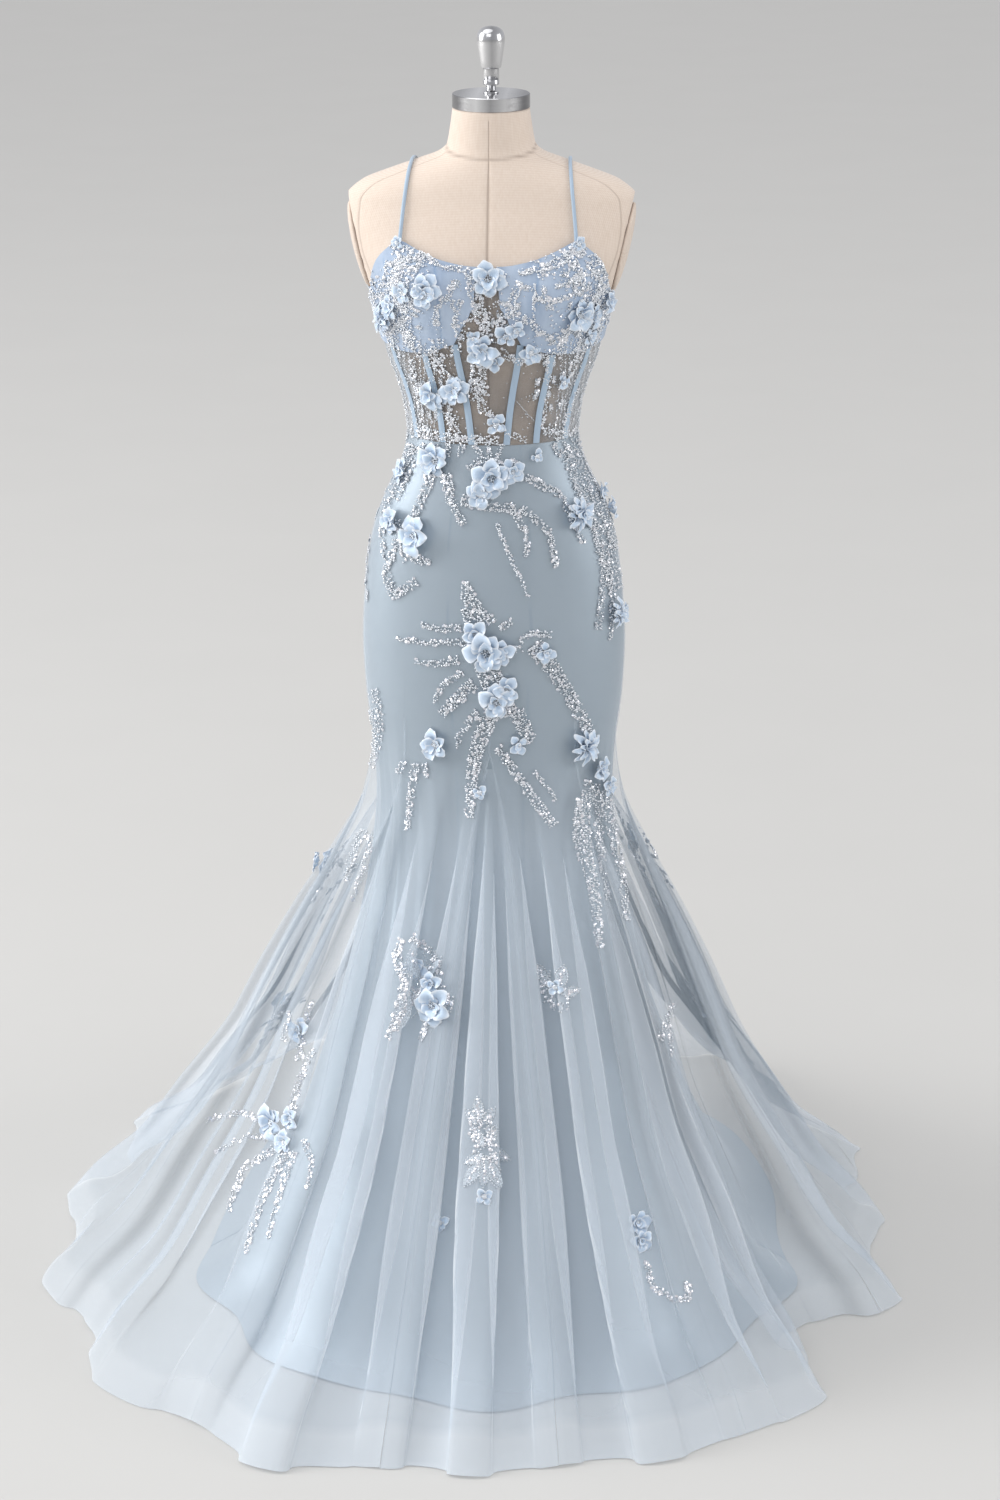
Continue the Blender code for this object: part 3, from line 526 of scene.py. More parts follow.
def makeTorso():
    angles = np.linspace(-180, 180, formSizes["columns"] + 1)
    for seam in formSizes["seamAngles"]:
        angles = np.concatenate((angles, [seam - 0.9, seam - 0.45, seam + 0.45, seam + 0.9]))
    angles = np.unique(np.round(angles[(angles >= -180) & (angles <= 180)], 3))
    heights = np.concatenate((np.linspace(1.6547, 1.54, 40), np.linspace(1.536, sizes["formEnd"], 120)))
    angle, height = np.meshgrid(angles, heights)
    points = bodyPoints(angle, height)
    seam = nearLines(angle, formSizes["seamAngles"], 0.9)
    # the neck's base seam dips in front, and no lengthwise seam crosses the neck
    neck = 1.6085 - 0.012 * np.cos(np.radians(angle))
    seam = np.where(height > neck, nearLines(angle, (0, 180), 0.9) * (height < 1.645), seam)
    seam = np.maximum(seam, np.clip(1 - np.abs(height - neck) / 0.0022, 0, 1))
    outward = outwardAt(bodyPoints, angle, height)
    points -= outward * (seam * formSizes["seamDeep"])[..., None]
    limit = armPlane(points[..., 2])
    points[..., 0] = np.clip(points[..., 0], -limit, limit)
    top = np.zeros_like(points[:1])
    top[..., 2] = heights[0]
    rim = points[-1:].copy()
    rim[..., :2] *= 0.93
    rim[..., 2] = sizes["formUnderside"]
    end = np.zeros_like(top)
    end[..., 2] = sizes["formUnderside"]
    points = np.concatenate((top, points, rim, end))[:, :-1]
    rows, columns = points.shape[:2]
    index = np.arange(rows * columns).reshape(rows, columns)
    after = np.roll(index, -1, axis=1)
    faces = np.stack((index[:-1], index[1:], after[1:], after[:-1]), -1).reshape(-1, 4)
    data = meshPiece("torso", points.reshape(-1, 3).tolist(), faces.tolist())
    layer = data.data.attributes.new("seam", "FLOAT", "POINT")
    marks = np.concatenate((seam[:1] * 0, seam, seam[:1] * 0, seam[:1] * 0))[:, :-1]
    layer.data.foreach_set("value", marks.ravel().astype(np.float32))
    corners = np.empty(len(data.data.loops), dtype=np.int32)
    data.data.loops.foreach_get("vertex_index", corners)
    flat = points.reshape(-1, 3)
    spots = np.stack((np.arctan2(flat[:, 0], -flat[:, 1]) * 0.15, flat[:, 2]), -1)
    data.data.uv_layers.new(name="cloth").data.foreach_set("uv", spots[corners].ravel())
    select(data)
    bpy.ops.object.mode_set(mode="EDIT")
    bpy.ops.mesh.select_all(action="SELECT")
    bpy.ops.mesh.remove_doubles(threshold=0.00002)
    bpy.ops.mesh.normals_make_consistent(inside=False)
    bpy.ops.object.mode_set(mode="OBJECT")
    finishPiece(data, "linen", ["form_torso"])


def select(piece):
    for other in bpy.context.selected_objects:
        other.select_set(False)
    bpy.context.view_layer.objects.active = piece
    piece.select_set(True)


def apply(piece, kind, values):
    select(piece)
    modifier = piece.modifiers.new(kind.title(), kind)
    for key, value in values.items():
        setattr(modifier, key, value)
    bpy.ops.object.modifier_apply(modifier=modifier.name)


def turned(name, profile, around=72, bevel=0.0):
    # a turned piece from a ring that is extruded and resized up its profile
    for other in bpy.context.selected_objects:
        other.select_set(False)
    radius, height = profile[0]
    bpy.ops.mesh.primitive_circle_add(vertices=around, radius=radius, fill_type="NGON", location=(0, 0, height))
    piece = bpy.context.object
    piece.name = piece.data.name = name
    bpy.ops.object.transform_apply(location=True)
    bpy.ops.object.mode_set(mode="EDIT")
    bpy.ops.mesh.select_all(action="SELECT")
    for (last, low), (following, high) in zip(profile, profile[1:]):
        bpy.ops.mesh.extrude_region_move(TRANSFORM_OT_translate={"value": (0, 0, high - low)})
        share = following / last
        bpy.ops.transform.resize(value=(share, share, 1), center_override=(0, 0, high))
    bpy.ops.mesh.select_all(action="SELECT")
    bpy.ops.mesh.normals_make_consistent(inside=False)
    bpy.ops.object.mode_set(mode="OBJECT")
    if bevel:
        apply(piece, "BEVEL", {"width": bevel, "segments": 2, "limit_method": "ANGLE"})
    select(piece)
    bpy.ops.object.shade_smooth_by_angle(angle=math.radians(35))
    return piece


def makeMetal():
    cap = turned("neckCap", (
        (0.0496, 1.6550), (0.0505, 1.6558), (0.0505, 1.6722), (0.0495, 1.6730), (0.0180, 1.67315)), 96)
    finishPiece(cap, "chrome", ["form_neck_cap"])
    handle = turned("handle", (
        (0.0100, 1.6733), (0.0102, 1.6737), (0.0100, 1.6749), (0.0078, 1.6756), (0.0064, 1.6770),
        (0.0062, 1.6830), (0.0066, 1.6838), (0.0100, 1.6840), (0.0106, 1.6848), (0.0106, 1.6900),
        (0.0102, 1.6906), (0.0106, 1.6912), (0.0106, 1.7050), (0.0112, 1.7053), (0.0128, 1.7058),
        (0.0134, 1.7070), (0.0148, 1.7160), (0.0163, 1.7260), (0.0175, 1.7340), (0.0181, 1.7390),
        (0.0182, 1.7425), (0.0178, 1.7460), (0.0168, 1.7498), (0.0150, 1.7530), (0.0122, 1.7556),
        (0.0085, 1.7573), (0.0040, 1.7583), (0.0008, 1.7585)), 64)
    finishPiece(handle, "chrome", ["form_handle"])
    pole = turned("pole", (
        (0.0188, 0.0103), (0.0190, 0.0110), (0.0190, 0.0540), (0.0184, 0.0553), (0.0125, 0.0556),
        (0.0125, 0.8440), (0.0122, 0.8446)), 48)
    finishPiece(pole, "painted_steel", ["form_pole"])
    foot = turned("foot", (
        (0.1640, 0.0), (0.1650, 0.0008), (0.1650, 0.0055), (0.1635, 0.0066), (0.1560, 0.0074),
        (0.1450, 0.0080), (0.0600, 0.0098), (0.0300, 0.0100)), 120)
    finishPiece(foot, "painted_steel", ["form_foot"])


def makeArmPlates():
    lean = math.atan(0.241)
    for side, hand in ((1, "Left"), (-1, "Right")):
        plate = turned(f"armPlate{hand}", (
            (0.975, 0.0003), (0.995, 0.0008), (1.0, 0.0026), (0.995, 0.0040), (0.97, 0.0052), (0.90, 0.0066),
            (0.76, 0.0084), (0.55, 0.0100), (0.30, 0.0110), (0.08, 0.0113)), 72)
        outward = Vector((side * math.cos(lean), 0.0, -math.sin(lean)))
        upward = Vector((side * math.sin(lean), 0.0, math.cos(lean)))
        across = upward.cross(outward)
        middle = Vector((side * armPlane(1.4740), 0.0, 1.4740))
        turn = Matrix((across * 0.043, upward * 0.060, outward)).transposed().to_4x4()
        plate.data.transform(Matrix.Translation(middle) @ turn)
        data = plate.data
        spots = [(vert.co.y, vert.co.z) for vert in data.vertices]
        layer = data.uv_layers.new(name="cloth")
        for loop, spot in zip(data.loops, layer.data):
            spot.uv = spots[loop.vertex_index]
        marks = data.attributes.new("seam", "FLOAT", "POINT")
        for vert, mark in zip(data.vertices, marks.data):
            rise = (vert.co - middle).dot(outward)
            mark.value = 0.8 if rise < 0.0012 else 0.0
        finishPiece(plate, "linen", [f"form_arm_plate_{hand.lower()}"])


makeTorso()
makeMetal()
makeArmPlates()
print("dress form made")

# ---- the bodice ----
bodiceSizes = {"cupColumns": 72, "cupRows": 48, "midriffColumns": 44, "midriffRows": 42, "backColumns": 50}


def goreAngle(up):
    table = np.array(cupGore)
    return np.interp(up, table[:, 0], table[:, 1])


def boneAngle(low, high, height):
    return low + (high - low) * (height - sizes["waist"]) / (1.3680 - sizes["waist"])


def makeCups():
    for side, hand in ((1, "Left"), (-1, "Right")):
        up, across = np.meshgrid(np.linspace(1, 0, bodiceSizes["cupRows"]),
                                 np.linspace(0, 1, bodiceSizes["cupColumns"]), indexing="ij")
        inner = goreAngle(up) + 0.12
        angle = inner + (89.9 - inner) * across
        low = smoothEdge(underbust, angle) + 0.0002
        height = low + (smoothEdge(neckline, angle, 3.0) - low) * up
        # seams: one up the cup, a second at its outer side
        seam = np.maximum(np.clip(1 - np.abs(angle - 21 - 3 * (1 - up)) / 0.7, 0, 1),
                          np.clip(1 - np.abs(angle - 40 - 6 * up) / 0.6, 0, 1))
        crown = 4 * (1 - up) * up
        edge = np.clip(np.minimum(up, 1 - up) / 0.05, 0, 1)
        gather = 0.00035 * np.sin(angle * 3.1 + 4 * up) * crown
        lift = sizes["cupEase"] + gather - 0.0008 * seam
        points = bodyPoints(side * angle, height) + (outwardAt(bodyPoints, side * angle, height)
                                                     * lift[..., None])
        if side < 0:
            points, seam, edge = points[:, ::-1], seam[:, ::-1], edge[:, ::-1]
        cup = clothWall(f"cup{hand}", points, sizes["cupThick"] * 0.97, seam=seam)
        shell = cup.data
        shell.set_sharp_from_angle(angle=math.radians(80))
        finishPiece(cup, "cup_tulle", [f"cup_{hand.lower()}"])
        clothPieces[cup.name + "Piece"] = cup


def bodiceWall(name, angle, height, node, slot="sheer_mesh", ease=None, thick=None, seam=None):
    ease = sizes["clothEase"] if ease is None else ease
    thick = sizes["meshThick"] if thick is None else thick
    points = bodyPoints(angle, height) + outwardAt(bodyPoints, angle, height) * ease
    # paler and closer round the sides, where the lace backs it
    side = np.clip((np.abs(angle) - 34) / 30, 0, 1) * np.clip((150 - np.abs(angle)) / 40, 0, 1)
    cover = 0.24 + 0.05 * np.sin(np.radians(angle) * 7) * np.sin(height * 60) + 0.5 * seam + 0.16 * side
    piece = clothWall(name, points, thick, np.maximum(seam * 0.5, side * 0.8), seam, cover)
    finishPiece(piece, slot, [node])
    return piece


def makeMidriff():
    gap = 0.12
    rows, columns = bodiceSizes["midriffRows"], bodiceSizes["midriffColumns"]
    sheets = []
    up, across = np.meshgrid(np.linspace(1, 0, rows * 2), np.linspace(-1, 1, 40), indexing="ij")
    split = 0.5
    lower, share = np.clip(up / split, 0, 1), np.clip((up - split) / (1 - split), 0, 1)
    low = sizes["waist"] + 0.0003 + (1.3680 - sizes["waist"]) * lower
    half = np.where(up <= split, boneAngle(11.7, 17.0, low), goreAngle(share) - gap)
    top = edgeHeight(underbust, half)
    height = np.where(up <= split, low, top + (smoothEdge(neckline, half, 3.0) - top) * share)
    seam = np.clip(1 - (1 - np.abs(across)) / 0.05, 0, 1)
    sheets.append(bodiceWall("midriffCentre", across * half, height, "midriff_centre", seam=seam))
    for side, hand in ((1, "Left"), (-1, "Right")):
        up, across = np.meshgrid(np.linspace(1, 0, rows), np.linspace(0, 1, columns), indexing="ij")
        if side < 0:
            across = across[:, ::-1]
        # columns lean from the boning's line at the waist to that under the bust
        foot = sizes["waist"] + 0.0003
        start = boneAngle(11.7, 17.0, foot) + gap
        flat = start + (89.88 - start) * across
        high = boneAngle(11.7, 17.0, 1.3680) + gap
        tall = high + (89.88 - high) * across
        top = smoothEdge(underbust, tall) - 0.0002
        height = foot + (top - foot) * up
        angle = flat + (tall - flat) * up
        seam = np.clip(1 - np.minimum(across, 1 - across) / 0.02, 0, 1)
        sheets.append(bodiceWall(f"midriffFront{hand}", side * angle, height,
                                 f"midriff_front_{hand.lower()}", seam=seam))
        up, across = np.meshgrid(np.linspace(1, 0, rows), np.linspace(0, 1, bodiceSizes["backColumns"]),
                                 indexing="ij")
        if side < 0:
            across = across[:, ::-1]
        angle = 90.12 + (178.1 - 90.12) * across
        top = smoothEdge(neckline, angle) - 0.0002
        height = foot + (top - foot) * up
        seam = np.maximum(np.clip(1 - np.minimum(across, 1 - across) / 0.02, 0, 1),
                          np.clip(1 - (1 - up) / 0.03, 0, 1))
        sheets.append(bodiceWall(f"bodiceBack{hand}", side * angle, height,
                                 f"bodice_back_{hand.lower()}", seam=seam))
    return sheets


boningPieces = []


def makeBones():
    lift = sizes["clothEase"] + sizes["meshThick"] + sizes["seamGap"]
    for label, low, high in (("Inner", 11.7, 17.0), ("Middle", 32.7, 36.0), ("Outer", 60.0, 64.0)):
        top = float(edgeHeight(underbust, high)) - 0.0022
        for side, hand in ((1, "Left"), (-1, "Right")):
            up, across = np.meshgrid(np.linspace(1, 0, 50), np.linspace(-1, 1, 9), indexing="ij")
            height = sizes["waist"] + 0.0010 + (top - sizes["waist"] - 0.0010) * up
            angle = boneAngle(low, high, height)
            wide = np.linalg.norm(bodyPoints(angle + 0.5, height) - bodyPoints(angle - 0.5, height), axis=-1)
            angle = side * angle + across * 0.00425 / wide
            # the channel swells over the bone in it, between its two rows of stitches
            rise = lift + 0.0005 * np.clip(1 - across ** 2 / 0.55, 0, 1)
            seam = np.clip(1 - np.abs(np.abs(across) - 0.8) / 0.2, 0, 1)
            points = bodyPoints(angle, height) + outwardAt(bodyPoints, angle, height) * rise[..., None]
            bone = clothWall(f"boning{label}{hand}", points, 0.0009, seam=seam)
            finishPiece(bone, "ribbon", [f"boning_{label.lower()}_{hand.lower()}"])
            boningPieces.append(bone)


def makeZip():
    up, across = np.meshgrid(np.linspace(1, 0, 60), np.linspace(-1, 1, 9), indexing="ij")
    height = sizes["waist"] + 0.0003 + (1.3380 - sizes["waist"] - 0.0003) * up
    wide = np.linalg.norm(bodyPoints(180.5 + 0 * up, height) - bodyPoints(179.5 + 0 * up, height), axis=-1)
    angle = 180 + across * 0.0022 / wide
    rise = sizes["clothEase"] - 0.0003 * np.clip(1 - np.abs(across) / 0.2, 0, 1)
    points = bodyPoints(angle, height) + outwardAt(bodyPoints, angle, height) * rise[..., None]
    seam = np.clip(1 - np.abs(across) / 0.25, 0, 1)
    tape = clothWall("zipTape", points, sizes["meshThick"], seam=seam)
    finishPiece(tape, "ribbon", ["zip_tape"])
    boningPieces.append(tape)
    foot = bodyPoints(np.array(180.0), np.array(1.3290))
    bpy.ops.object.select_all(action="DESELECT")
    bpy.ops.mesh.primitive_cube_add(size=1, location=(0, 0, 0))
    slider = bpy.context.object
    slider.name = slider.data.name = "zipSlider"
    bpy.ops.object.mode_set(mode="EDIT")
    bpy.ops.mesh.select_all(action="SELECT")
    bpy.ops.transform.resize(value=(0.0036, 0.0018, 0.0062))
    bpy.ops.object.mode_set(mode="OBJECT")
    pick(slider, lambda face: face.normal.y > 0.9)
    bpy.ops.mesh.inset(thickness=0.0009)
    bpy.ops.mesh.extrude_region_move(TRANSFORM_OT_translate={"value": (0, 0.0005, -0.0004)})
    bpy.ops.object.mode_set(mode="OBJECT")
    pick(slider, lambda face: face.normal.z < -0.9)
    bpy.ops.mesh.inset(thickness=0.0006)
    bpy.ops.mesh.extrude_region_move(TRANSFORM_OT_translate={"value": (0, 0.0002, -0.0032)})
    bpy.ops.object.mode_set(mode="OBJECT")
    apply(slider, "BEVEL", {"width": 0.0003, "segments": 2, "limit_method": "ANGLE"})
    slider.data.transform(Matrix.Translation((0, foot[1] + sizes["clothEase"] + 0.0022, 1.3310)))
    bpy.ops.object.shade_smooth_by_angle(angle=math.radians(40))
    finishPiece(slider, "chrome", ["zip_slider"])


def pick(piece, wanted):
    # select the faces that are wanted, ready to edit
    select(piece)
    bpy.ops.object.mode_set(mode="EDIT")
    bpy.ops.mesh.select_mode(type="FACE")
    bpy.ops.mesh.select_all(action="DESELECT")
    bpy.ops.object.mode_set(mode="OBJECT")
    for face in piece.data.polygons:
        face.select = wanted(face)
    bpy.ops.object.mode_set(mode="EDIT")


strapRows = (  # height, across, side: -1 in front and 1 at the back
    (1.4930, 0.1128, -1), (1.4984, 0.1125, -1), (1.5200, 0.1105, -1), (1.5400, 0.1085, -1), (1.5560, 0.1065, -1),
    (1.5680, 0.1050, -1), (1.5770, 0.1035, -1), (1.5840, 0.1020, -1), (1.5853, 0.1016, -1),
    (1.5853, 0.1012, 1), (1.5838, 0.1008, 1), (1.5800, 0.1000, 1), (1.5740, 0.0992, 1),
    (1.5640, 0.0980, 1), (1.5440, 0.0955, 1), (1.5150, 0.0920, 1), (1.4800, 0.0885, 1),
    (1.4400, 0.0845, 1), (1.4000, 0.0805, 1), (1.3700, 0.0773, 1), (1.3508, 0.0757, 1), (1.3440, 0.0752, 1),
)


def strapPath(side):
    points = []
    for height, across, face in strapRows:
        half = float(read(bodyTable, 1, height))
        angle = math.degrees(math.asin(min(1.0, across / half)))
        angle = side * (180.0 - angle if face > 0 else angle)
        spot = bodyPoints(np.array(angle), np.array(height))
        points.append(spot + outwardAt(bodyPoints, np.array(angle), np.array(height)) * 0.0034)
    return np.array(points)


def makeStraps():
    # a narrow tube of bias-cut cloth, pressed a little flat
    for side, hand in ((1, "Left"), (-1, "Right")):
        path = strapPath(side)
        step = np.concatenate(([0], np.cumsum(np.linalg.norm(np.diff(path, axis=0), axis=-1))))
        fine = np.linspace(0, step[-1], 110)
        path = np.stack([np.interp(fine, step, path[:, axis]) for axis in range(3)], -1)
        for _ in range(4):
            path[1:-1] = (path[:-2] + 2 * path[1:-1] + path[2:]) / 4
        ahead = np.gradient(path, axis=0)
        ahead /= np.linalg.norm(ahead, axis=-1, keepdims=True)
        outward = np.where(np.abs(ahead[:, 2:]) > 0.55, path * (0, 1, 0), (0, 0, 1.0))
        for _ in range(12):
            outward[1:-1] = (outward[:-2] + 2 * outward[1:-1] + outward[2:]) / 4
        outward -= ahead * np.sum(outward * ahead, axis=-1, keepdims=True)
        outward /= np.linalg.norm(outward, axis=-1, keepdims=True)
        across = np.cross(ahead, outward)
        turns = np.linspace(0, 2 * np.pi, 13)[:-1]
        ring = (across[:, None] * (0.0024 * np.cos(turns))[None, :, None]
                + outward[:, None] * (0.0018 * np.sin(turns))[None, :, None])
        points = path[:, None] + ring
        rows, columns = points.shape[:2]
        index = np.arange(rows * columns).reshape(rows, columns)
        after = np.roll(index, -1, axis=1)
        faces = np.stack((index[:-1], after[:-1], after[1:], index[1:]), -1).reshape(-1, 4).tolist()
        faces += [index[0, ::-1].tolist(), index[-1].tolist()]
        strap = meshPiece(f"strap{hand}", points.reshape(-1, 3).tolist(), faces)
        corners = np.empty(len(strap.data.loops), dtype=np.int32)
        strap.data.loops.foreach_get("vertex_index", corners)
        spots = np.stack(np.broadcast_arrays(turns[None] * 0.002, fine[:, None]), -1).reshape(-1, 2)
        strap.data.uv_layers.new(name="cloth").data.foreach_set("uv", spots[corners].ravel())
        select(strap)
        bpy.ops.object.mode_set(mode="EDIT")
        bpy.ops.mesh.select_all(action="SELECT")
        bpy.ops.mesh.normals_make_consistent(inside=False)
        bpy.ops.object.mode_set(mode="OBJECT")
        finishPiece(strap, "ribbon", [f"strap_{hand.lower()}"])


makeCups()
midriffSheets = makeMidriff()
makeBones()
makeZip()
makeStraps()
print("bodice made")

# ---- the skirts ----
skirtSizes = {"fluteDeep": 0.019, "columns": 22, "seamWide": 0.0022, "bandHigh": 0.050}


def skirtLevels():
    fitted = np.linspace(sizes["waist"] - 0.0003, 0.80, 34)
    free = 0.80 * (1 - np.linspace(0, 1, 62)[1:] ** 0.94)
    return np.concatenate((fitted, free[:-1] * 0.9975 + 0.002, [0.0020]))


def makeSatin():
    # smoother than the tulle, so every second level will do
    levels = skirtLevels()
    heights = np.append(levels[:-1:2], levels[-1])
    sheets = []
    for name, node, start, end in (("satinFront", "satin_front", -90, 90),
                                   ("satinBackLeft", "satin_back_left", 90, 180),
                                   ("satinBackRight", "satin_back_right", 180, 270)):
        across = np.linspace(0, 1, int((end - start) / 180 * 136) + 1)
        angle, height = np.meshgrid(start + 0.08 + (end - start - 0.16) * across, heights)
        # soft drag lines where the skirt leaves the knees
        loose = np.exp(-((height - 0.62) / 0.20) ** 2)
        drag = 0.0022 * loose * np.sin(np.radians(angle) * 17 + 5 * height) ** 3
        seam = np.clip(1 - np.minimum(across, 1 - across) * (end - start) / 0.5, 0, 1)[None, :] + 0 * height
        for line in ((-21, 21) if node == "satin_front" else ()):
            princess = line * (1 - 0.25 * np.clip((1.2255 - height) / 0.5, 0, 1))
            seam = np.maximum(seam, np.clip(1 - np.abs(angle - princess) / 0.45, 0, 1) * (height > 0.6))
        hem = np.clip(1 - np.abs(height - 0.030) / 0.003, 0, 1) * 0.5
        points = satinPoints(angle, height) + outwardAt(satinPoints, angle, height) * (
            sizes["satinEase"] + drag * (height < 0.8) - 0.0003 * seam)[..., None]
        sheet = clothWall(name, points, sizes["satinThick"], seam=np.maximum(seam, hem))
        finishPiece(sheet, "satin", [node])
        sheets.append(sheet)
    return sheets


def seamAngle(godet, height):
    share = np.clip((sizes["waist"] - height) / (sizes["waist"] - godet[3]), 0, 1)
    return godet[1] + (godet[2] - godet[1]) * share


def godetHalf(godet, height):
    grown = np.clip((godet[3] - height) / godet[3], 0, 1)
    hemRadius = float(hemFold(np.array(float(godet[2])))[0])
    here = overlayPoints(godet[2] + 0 * height, height)
    return godet[4] * grown * hemRadius / np.linalg.norm(here[..., :2], axis=-1)


def cloud(angle, height, seed):
    # soft unevenness from a few long waves
    picks = random.Random(seed)
    total = 0.0 * angle
    for _ in range(5):
        across, up = picks.uniform(4, 22), picks.uniform(3, 16)
        total = total + np.sin(np.radians(angle) * across + height * up + picks.uniform(0, 6.3))
    return total / 5


def tullePanel(name, node, low, high, heights, pleats, seed):
    # pleats: for each fold its share of the depth, its overlap and how its edges catch the light
    picks = random.Random(seed)
    flutes = len(pleats)
    across = np.linspace(0, 1, skirtSizes["columns"] * flutes + 1)
    share, height = np.meshgrid(across, heights)
    # the folds wander a little on their way down
    wander = np.sin(np.pi * share) ** 2 / flutes
    share = share + wander * (0.16 * np.sin(height * picks.uniform(3, 6) + picks.uniform(0, 6))
                              + picks.uniform(-0.14, 0.14))
    phase = share * flutes
    number = np.clip(phase.astype(int), 0, flutes - 1)
    depths, laps, lines = (np.array([pleat[place] for pleat in pleats])[number] for place in range(3))
    angle = low[:, None] + (high - low)[:, None] * share
    points = overlayPoints(angle, height)
    outward = outwardAt(overlayPoints, angle, height)
    points += outward * sizes["overlayEase"]
    width = np.linalg.norm(np.diff(points, axis=1), axis=-1).sum(axis=1)[:, None] / flutes
    flare = read(flareTable, 1, height)
    grown = np.clip((flare - 0.01) / 0.34, 0, 1) ** 0.75
    deep = np.minimum(skirtSizes["fluteDeep"] * grown, 0.30 * width) * depths
    deep = deep * np.clip(0.45 + height / 0.20, 0, 1)
    turn = 2 * np.pi * phase
    points -= outward * (deep * (1 - np.cos(turn)))[..., None]
    around = np.stack((np.cos(np.radians(angle)), np.sin(np.radians(angle)), 0 * angle), -1)
    ease = np.clip(height / 0.30, 0, 1)
    lap = laps * np.clip(grown * 1.3, 0, 1) * (0.30 + 0.70 * ease * ease * (3 - 2 * ease))
    points += around * (lap * width * np.sin(2 * turn))[..., None]
    # a painted highlight lies where an overlapping fold turns back and catches the light
    edge = 0.5 * np.arccos(np.clip(-1 / (4 * np.pi * np.maximum(lap, 0.01)), -1, 1))
    local = turn % np.pi
    near = np.minimum(np.abs(local - edge), np.abs(local - (np.pi - edge)))
    fold = np.clip(1 - near / (0.12 + 0.12 * (lap > 0.10)), 0, 1) * lines * np.clip(grown * 2.5, 0, 1)
    fold = fold * (laps > 0.08) * np.clip(height / 0.08, 0.3, 1)
    reach = np.minimum(share, 1 - share) * width * flutes
    seam = np.clip(1 - reach / skirtSizes["seamWide"], 0, 1)
    seam = seam * np.clip((height - 0.05) / 0.3, 0.25, 1)
    band = 0.5 * np.clip((skirtSizes["bandHigh"] - height) / 0.008, 0, 1)
    # ripples of the hem on the floor
    ripple = 0.005 * np.exp(-((height - 0.03) / 0.03) ** 2) * np.sin(np.radians(angle) * 23 + seed)
    points[..., 2] += np.clip(ripple, -0.0015, 0.01)
    points[..., 2] = np.maximum(points[..., 2], 0.0016)
    hem = np.clip((0.34 - height) / 0.34, 0, 1)
    # closer over the satin in front than round the sides
    free = np.clip((0.80 - height) / 0.15, 0, 1) * (0.03 + 0.11 * np.clip(np.cos(np.radians(angle)) * 3 - 1.8, 0, 1))
    cover = (0.110 + free + 0.085 * hem ** 1.4 + 0.03 * cloud(angle, height, 3) + 0.20 * fold + 0.10 * seam
             + 0.06 * band)
    cover = np.where(height > 0.84, 0.10, cover)
    sheet = clothWall(name, points, sizes["tulleThick"], np.maximum(fold, 0.5 * band), seam, np.clip(cover, 0, 1))
    finishPiece(sheet, "tulle", [node])
    return sheet


pleatRows = {  # each panel's folds: share of the full depth, overlap, light on the edges
    "front_left": ((0.9, 0.22, 0.8), (0.7, 0.17, 0.5)), "side_front_left": ((1.0, 0.24, 0.8), (0.6, 0.14, 0.5)),
    "side_back_left": ((0.6, 0.10, 0.2), (0.8, 0.16, 0.4)), "back_left": ((1.0, 0.22, 0.5), (0.7, 0.15, 0.4)),
    "back_right": ((0.8, 0.18, 0.5), (1.0, 0.22, 0.4)), "side_back_right": ((0.7, 0.14, 0.3), (0.5, 0.08, 0.0)),
    "side_front_right": ((0.5, 0.09, 0.2), (0.4, 0.06, 0.0)),
    "side_left": ((0.8, 0.16, 0.5),), "side_right": ((0.5, 0.10, 0.2),), "front_right": ((0.7, 0.16, 0.5), (0.9, 0.22, 0.7)),
    "centre_front": ((1.0, 0.24, 1.0), (0.8, 0.18, 0.8)), "centre_back": ((1.0, 0.22, 0.6), (1.0, 0.20, 0.6)),
}


def makeOverlay():
    heights = skirtLevels()
    sheets = []
    following = godets[1:] + (("centre_front", 360, 360, 0.80, 11),)
    for order, (name, first, second) in enumerate(zip(panelNames, godets, following)):
        low = seamAngle(first, heights) + godetHalf(first, heights) + 0.02
        high = seamAngle(second, heights) - godetHalf(second, heights) - 0.02
        label = "gore" + "".join(part.title() for part in name.split("_"))
        sheets.append(tullePanel(label, f"overlay_{name}", low, high, heights, pleatRows[name], 10 + order))
    for order, godet in enumerate(godets):
        below = heights[heights < godet[3] - 0.006]
        half = np.maximum(godetHalf(godet, below) - 0.02, 0.02)
        label = "godet" + "".join(part.title() for part in godet[0].split("_"))
        pleats = pleatRows[godet[0]] if godet[0].startswith("centre") else pleatRows[godet[0]][:1]
        sheets.append(tullePanel(label, f"godet_{godet[0]}", godet[2] - half, godet[2] + half, below, pleats,
                                 40 + order))
    return sheets


satinSheets = makeSatin()
tulleSheets = makeOverlay()
print("skirts made")

# ---- what the beads and flowers are sewn to ----
cameraSizes = {"away": 4.6, "height": 2.376, "pitch": 19.2, "azimuth": 3.5, "roll": -0.3, "lens": 85.0,
               "shift": 5.5, "focus": 3542.0}


def cameraAxes():
    turn, tilt = math.radians(cameraSizes["azimuth"]), math.radians(cameraSizes["pitch"])
    roll = math.radians(cameraSizes["roll"])
    ahead = Vector((-math.sin(turn) * math.cos(tilt), math.cos(turn) * math.cos(tilt), -math.sin(tilt)))
    level = Vector((math.cos(turn), math.sin(turn), 0.0))
    above = level.cross(ahead)
    spot = Vector((cameraSizes["away"] * math.sin(turn), -cameraSizes["away"] * math.cos(turn),
                   cameraSizes["height"]))
    return (spot, ahead, level * math.cos(roll) + above * math.sin(roll),
            above * math.cos(roll) - level * math.sin(roll))


cameraSpot, cameraAhead, cameraRight, cameraUp = cameraAxes()


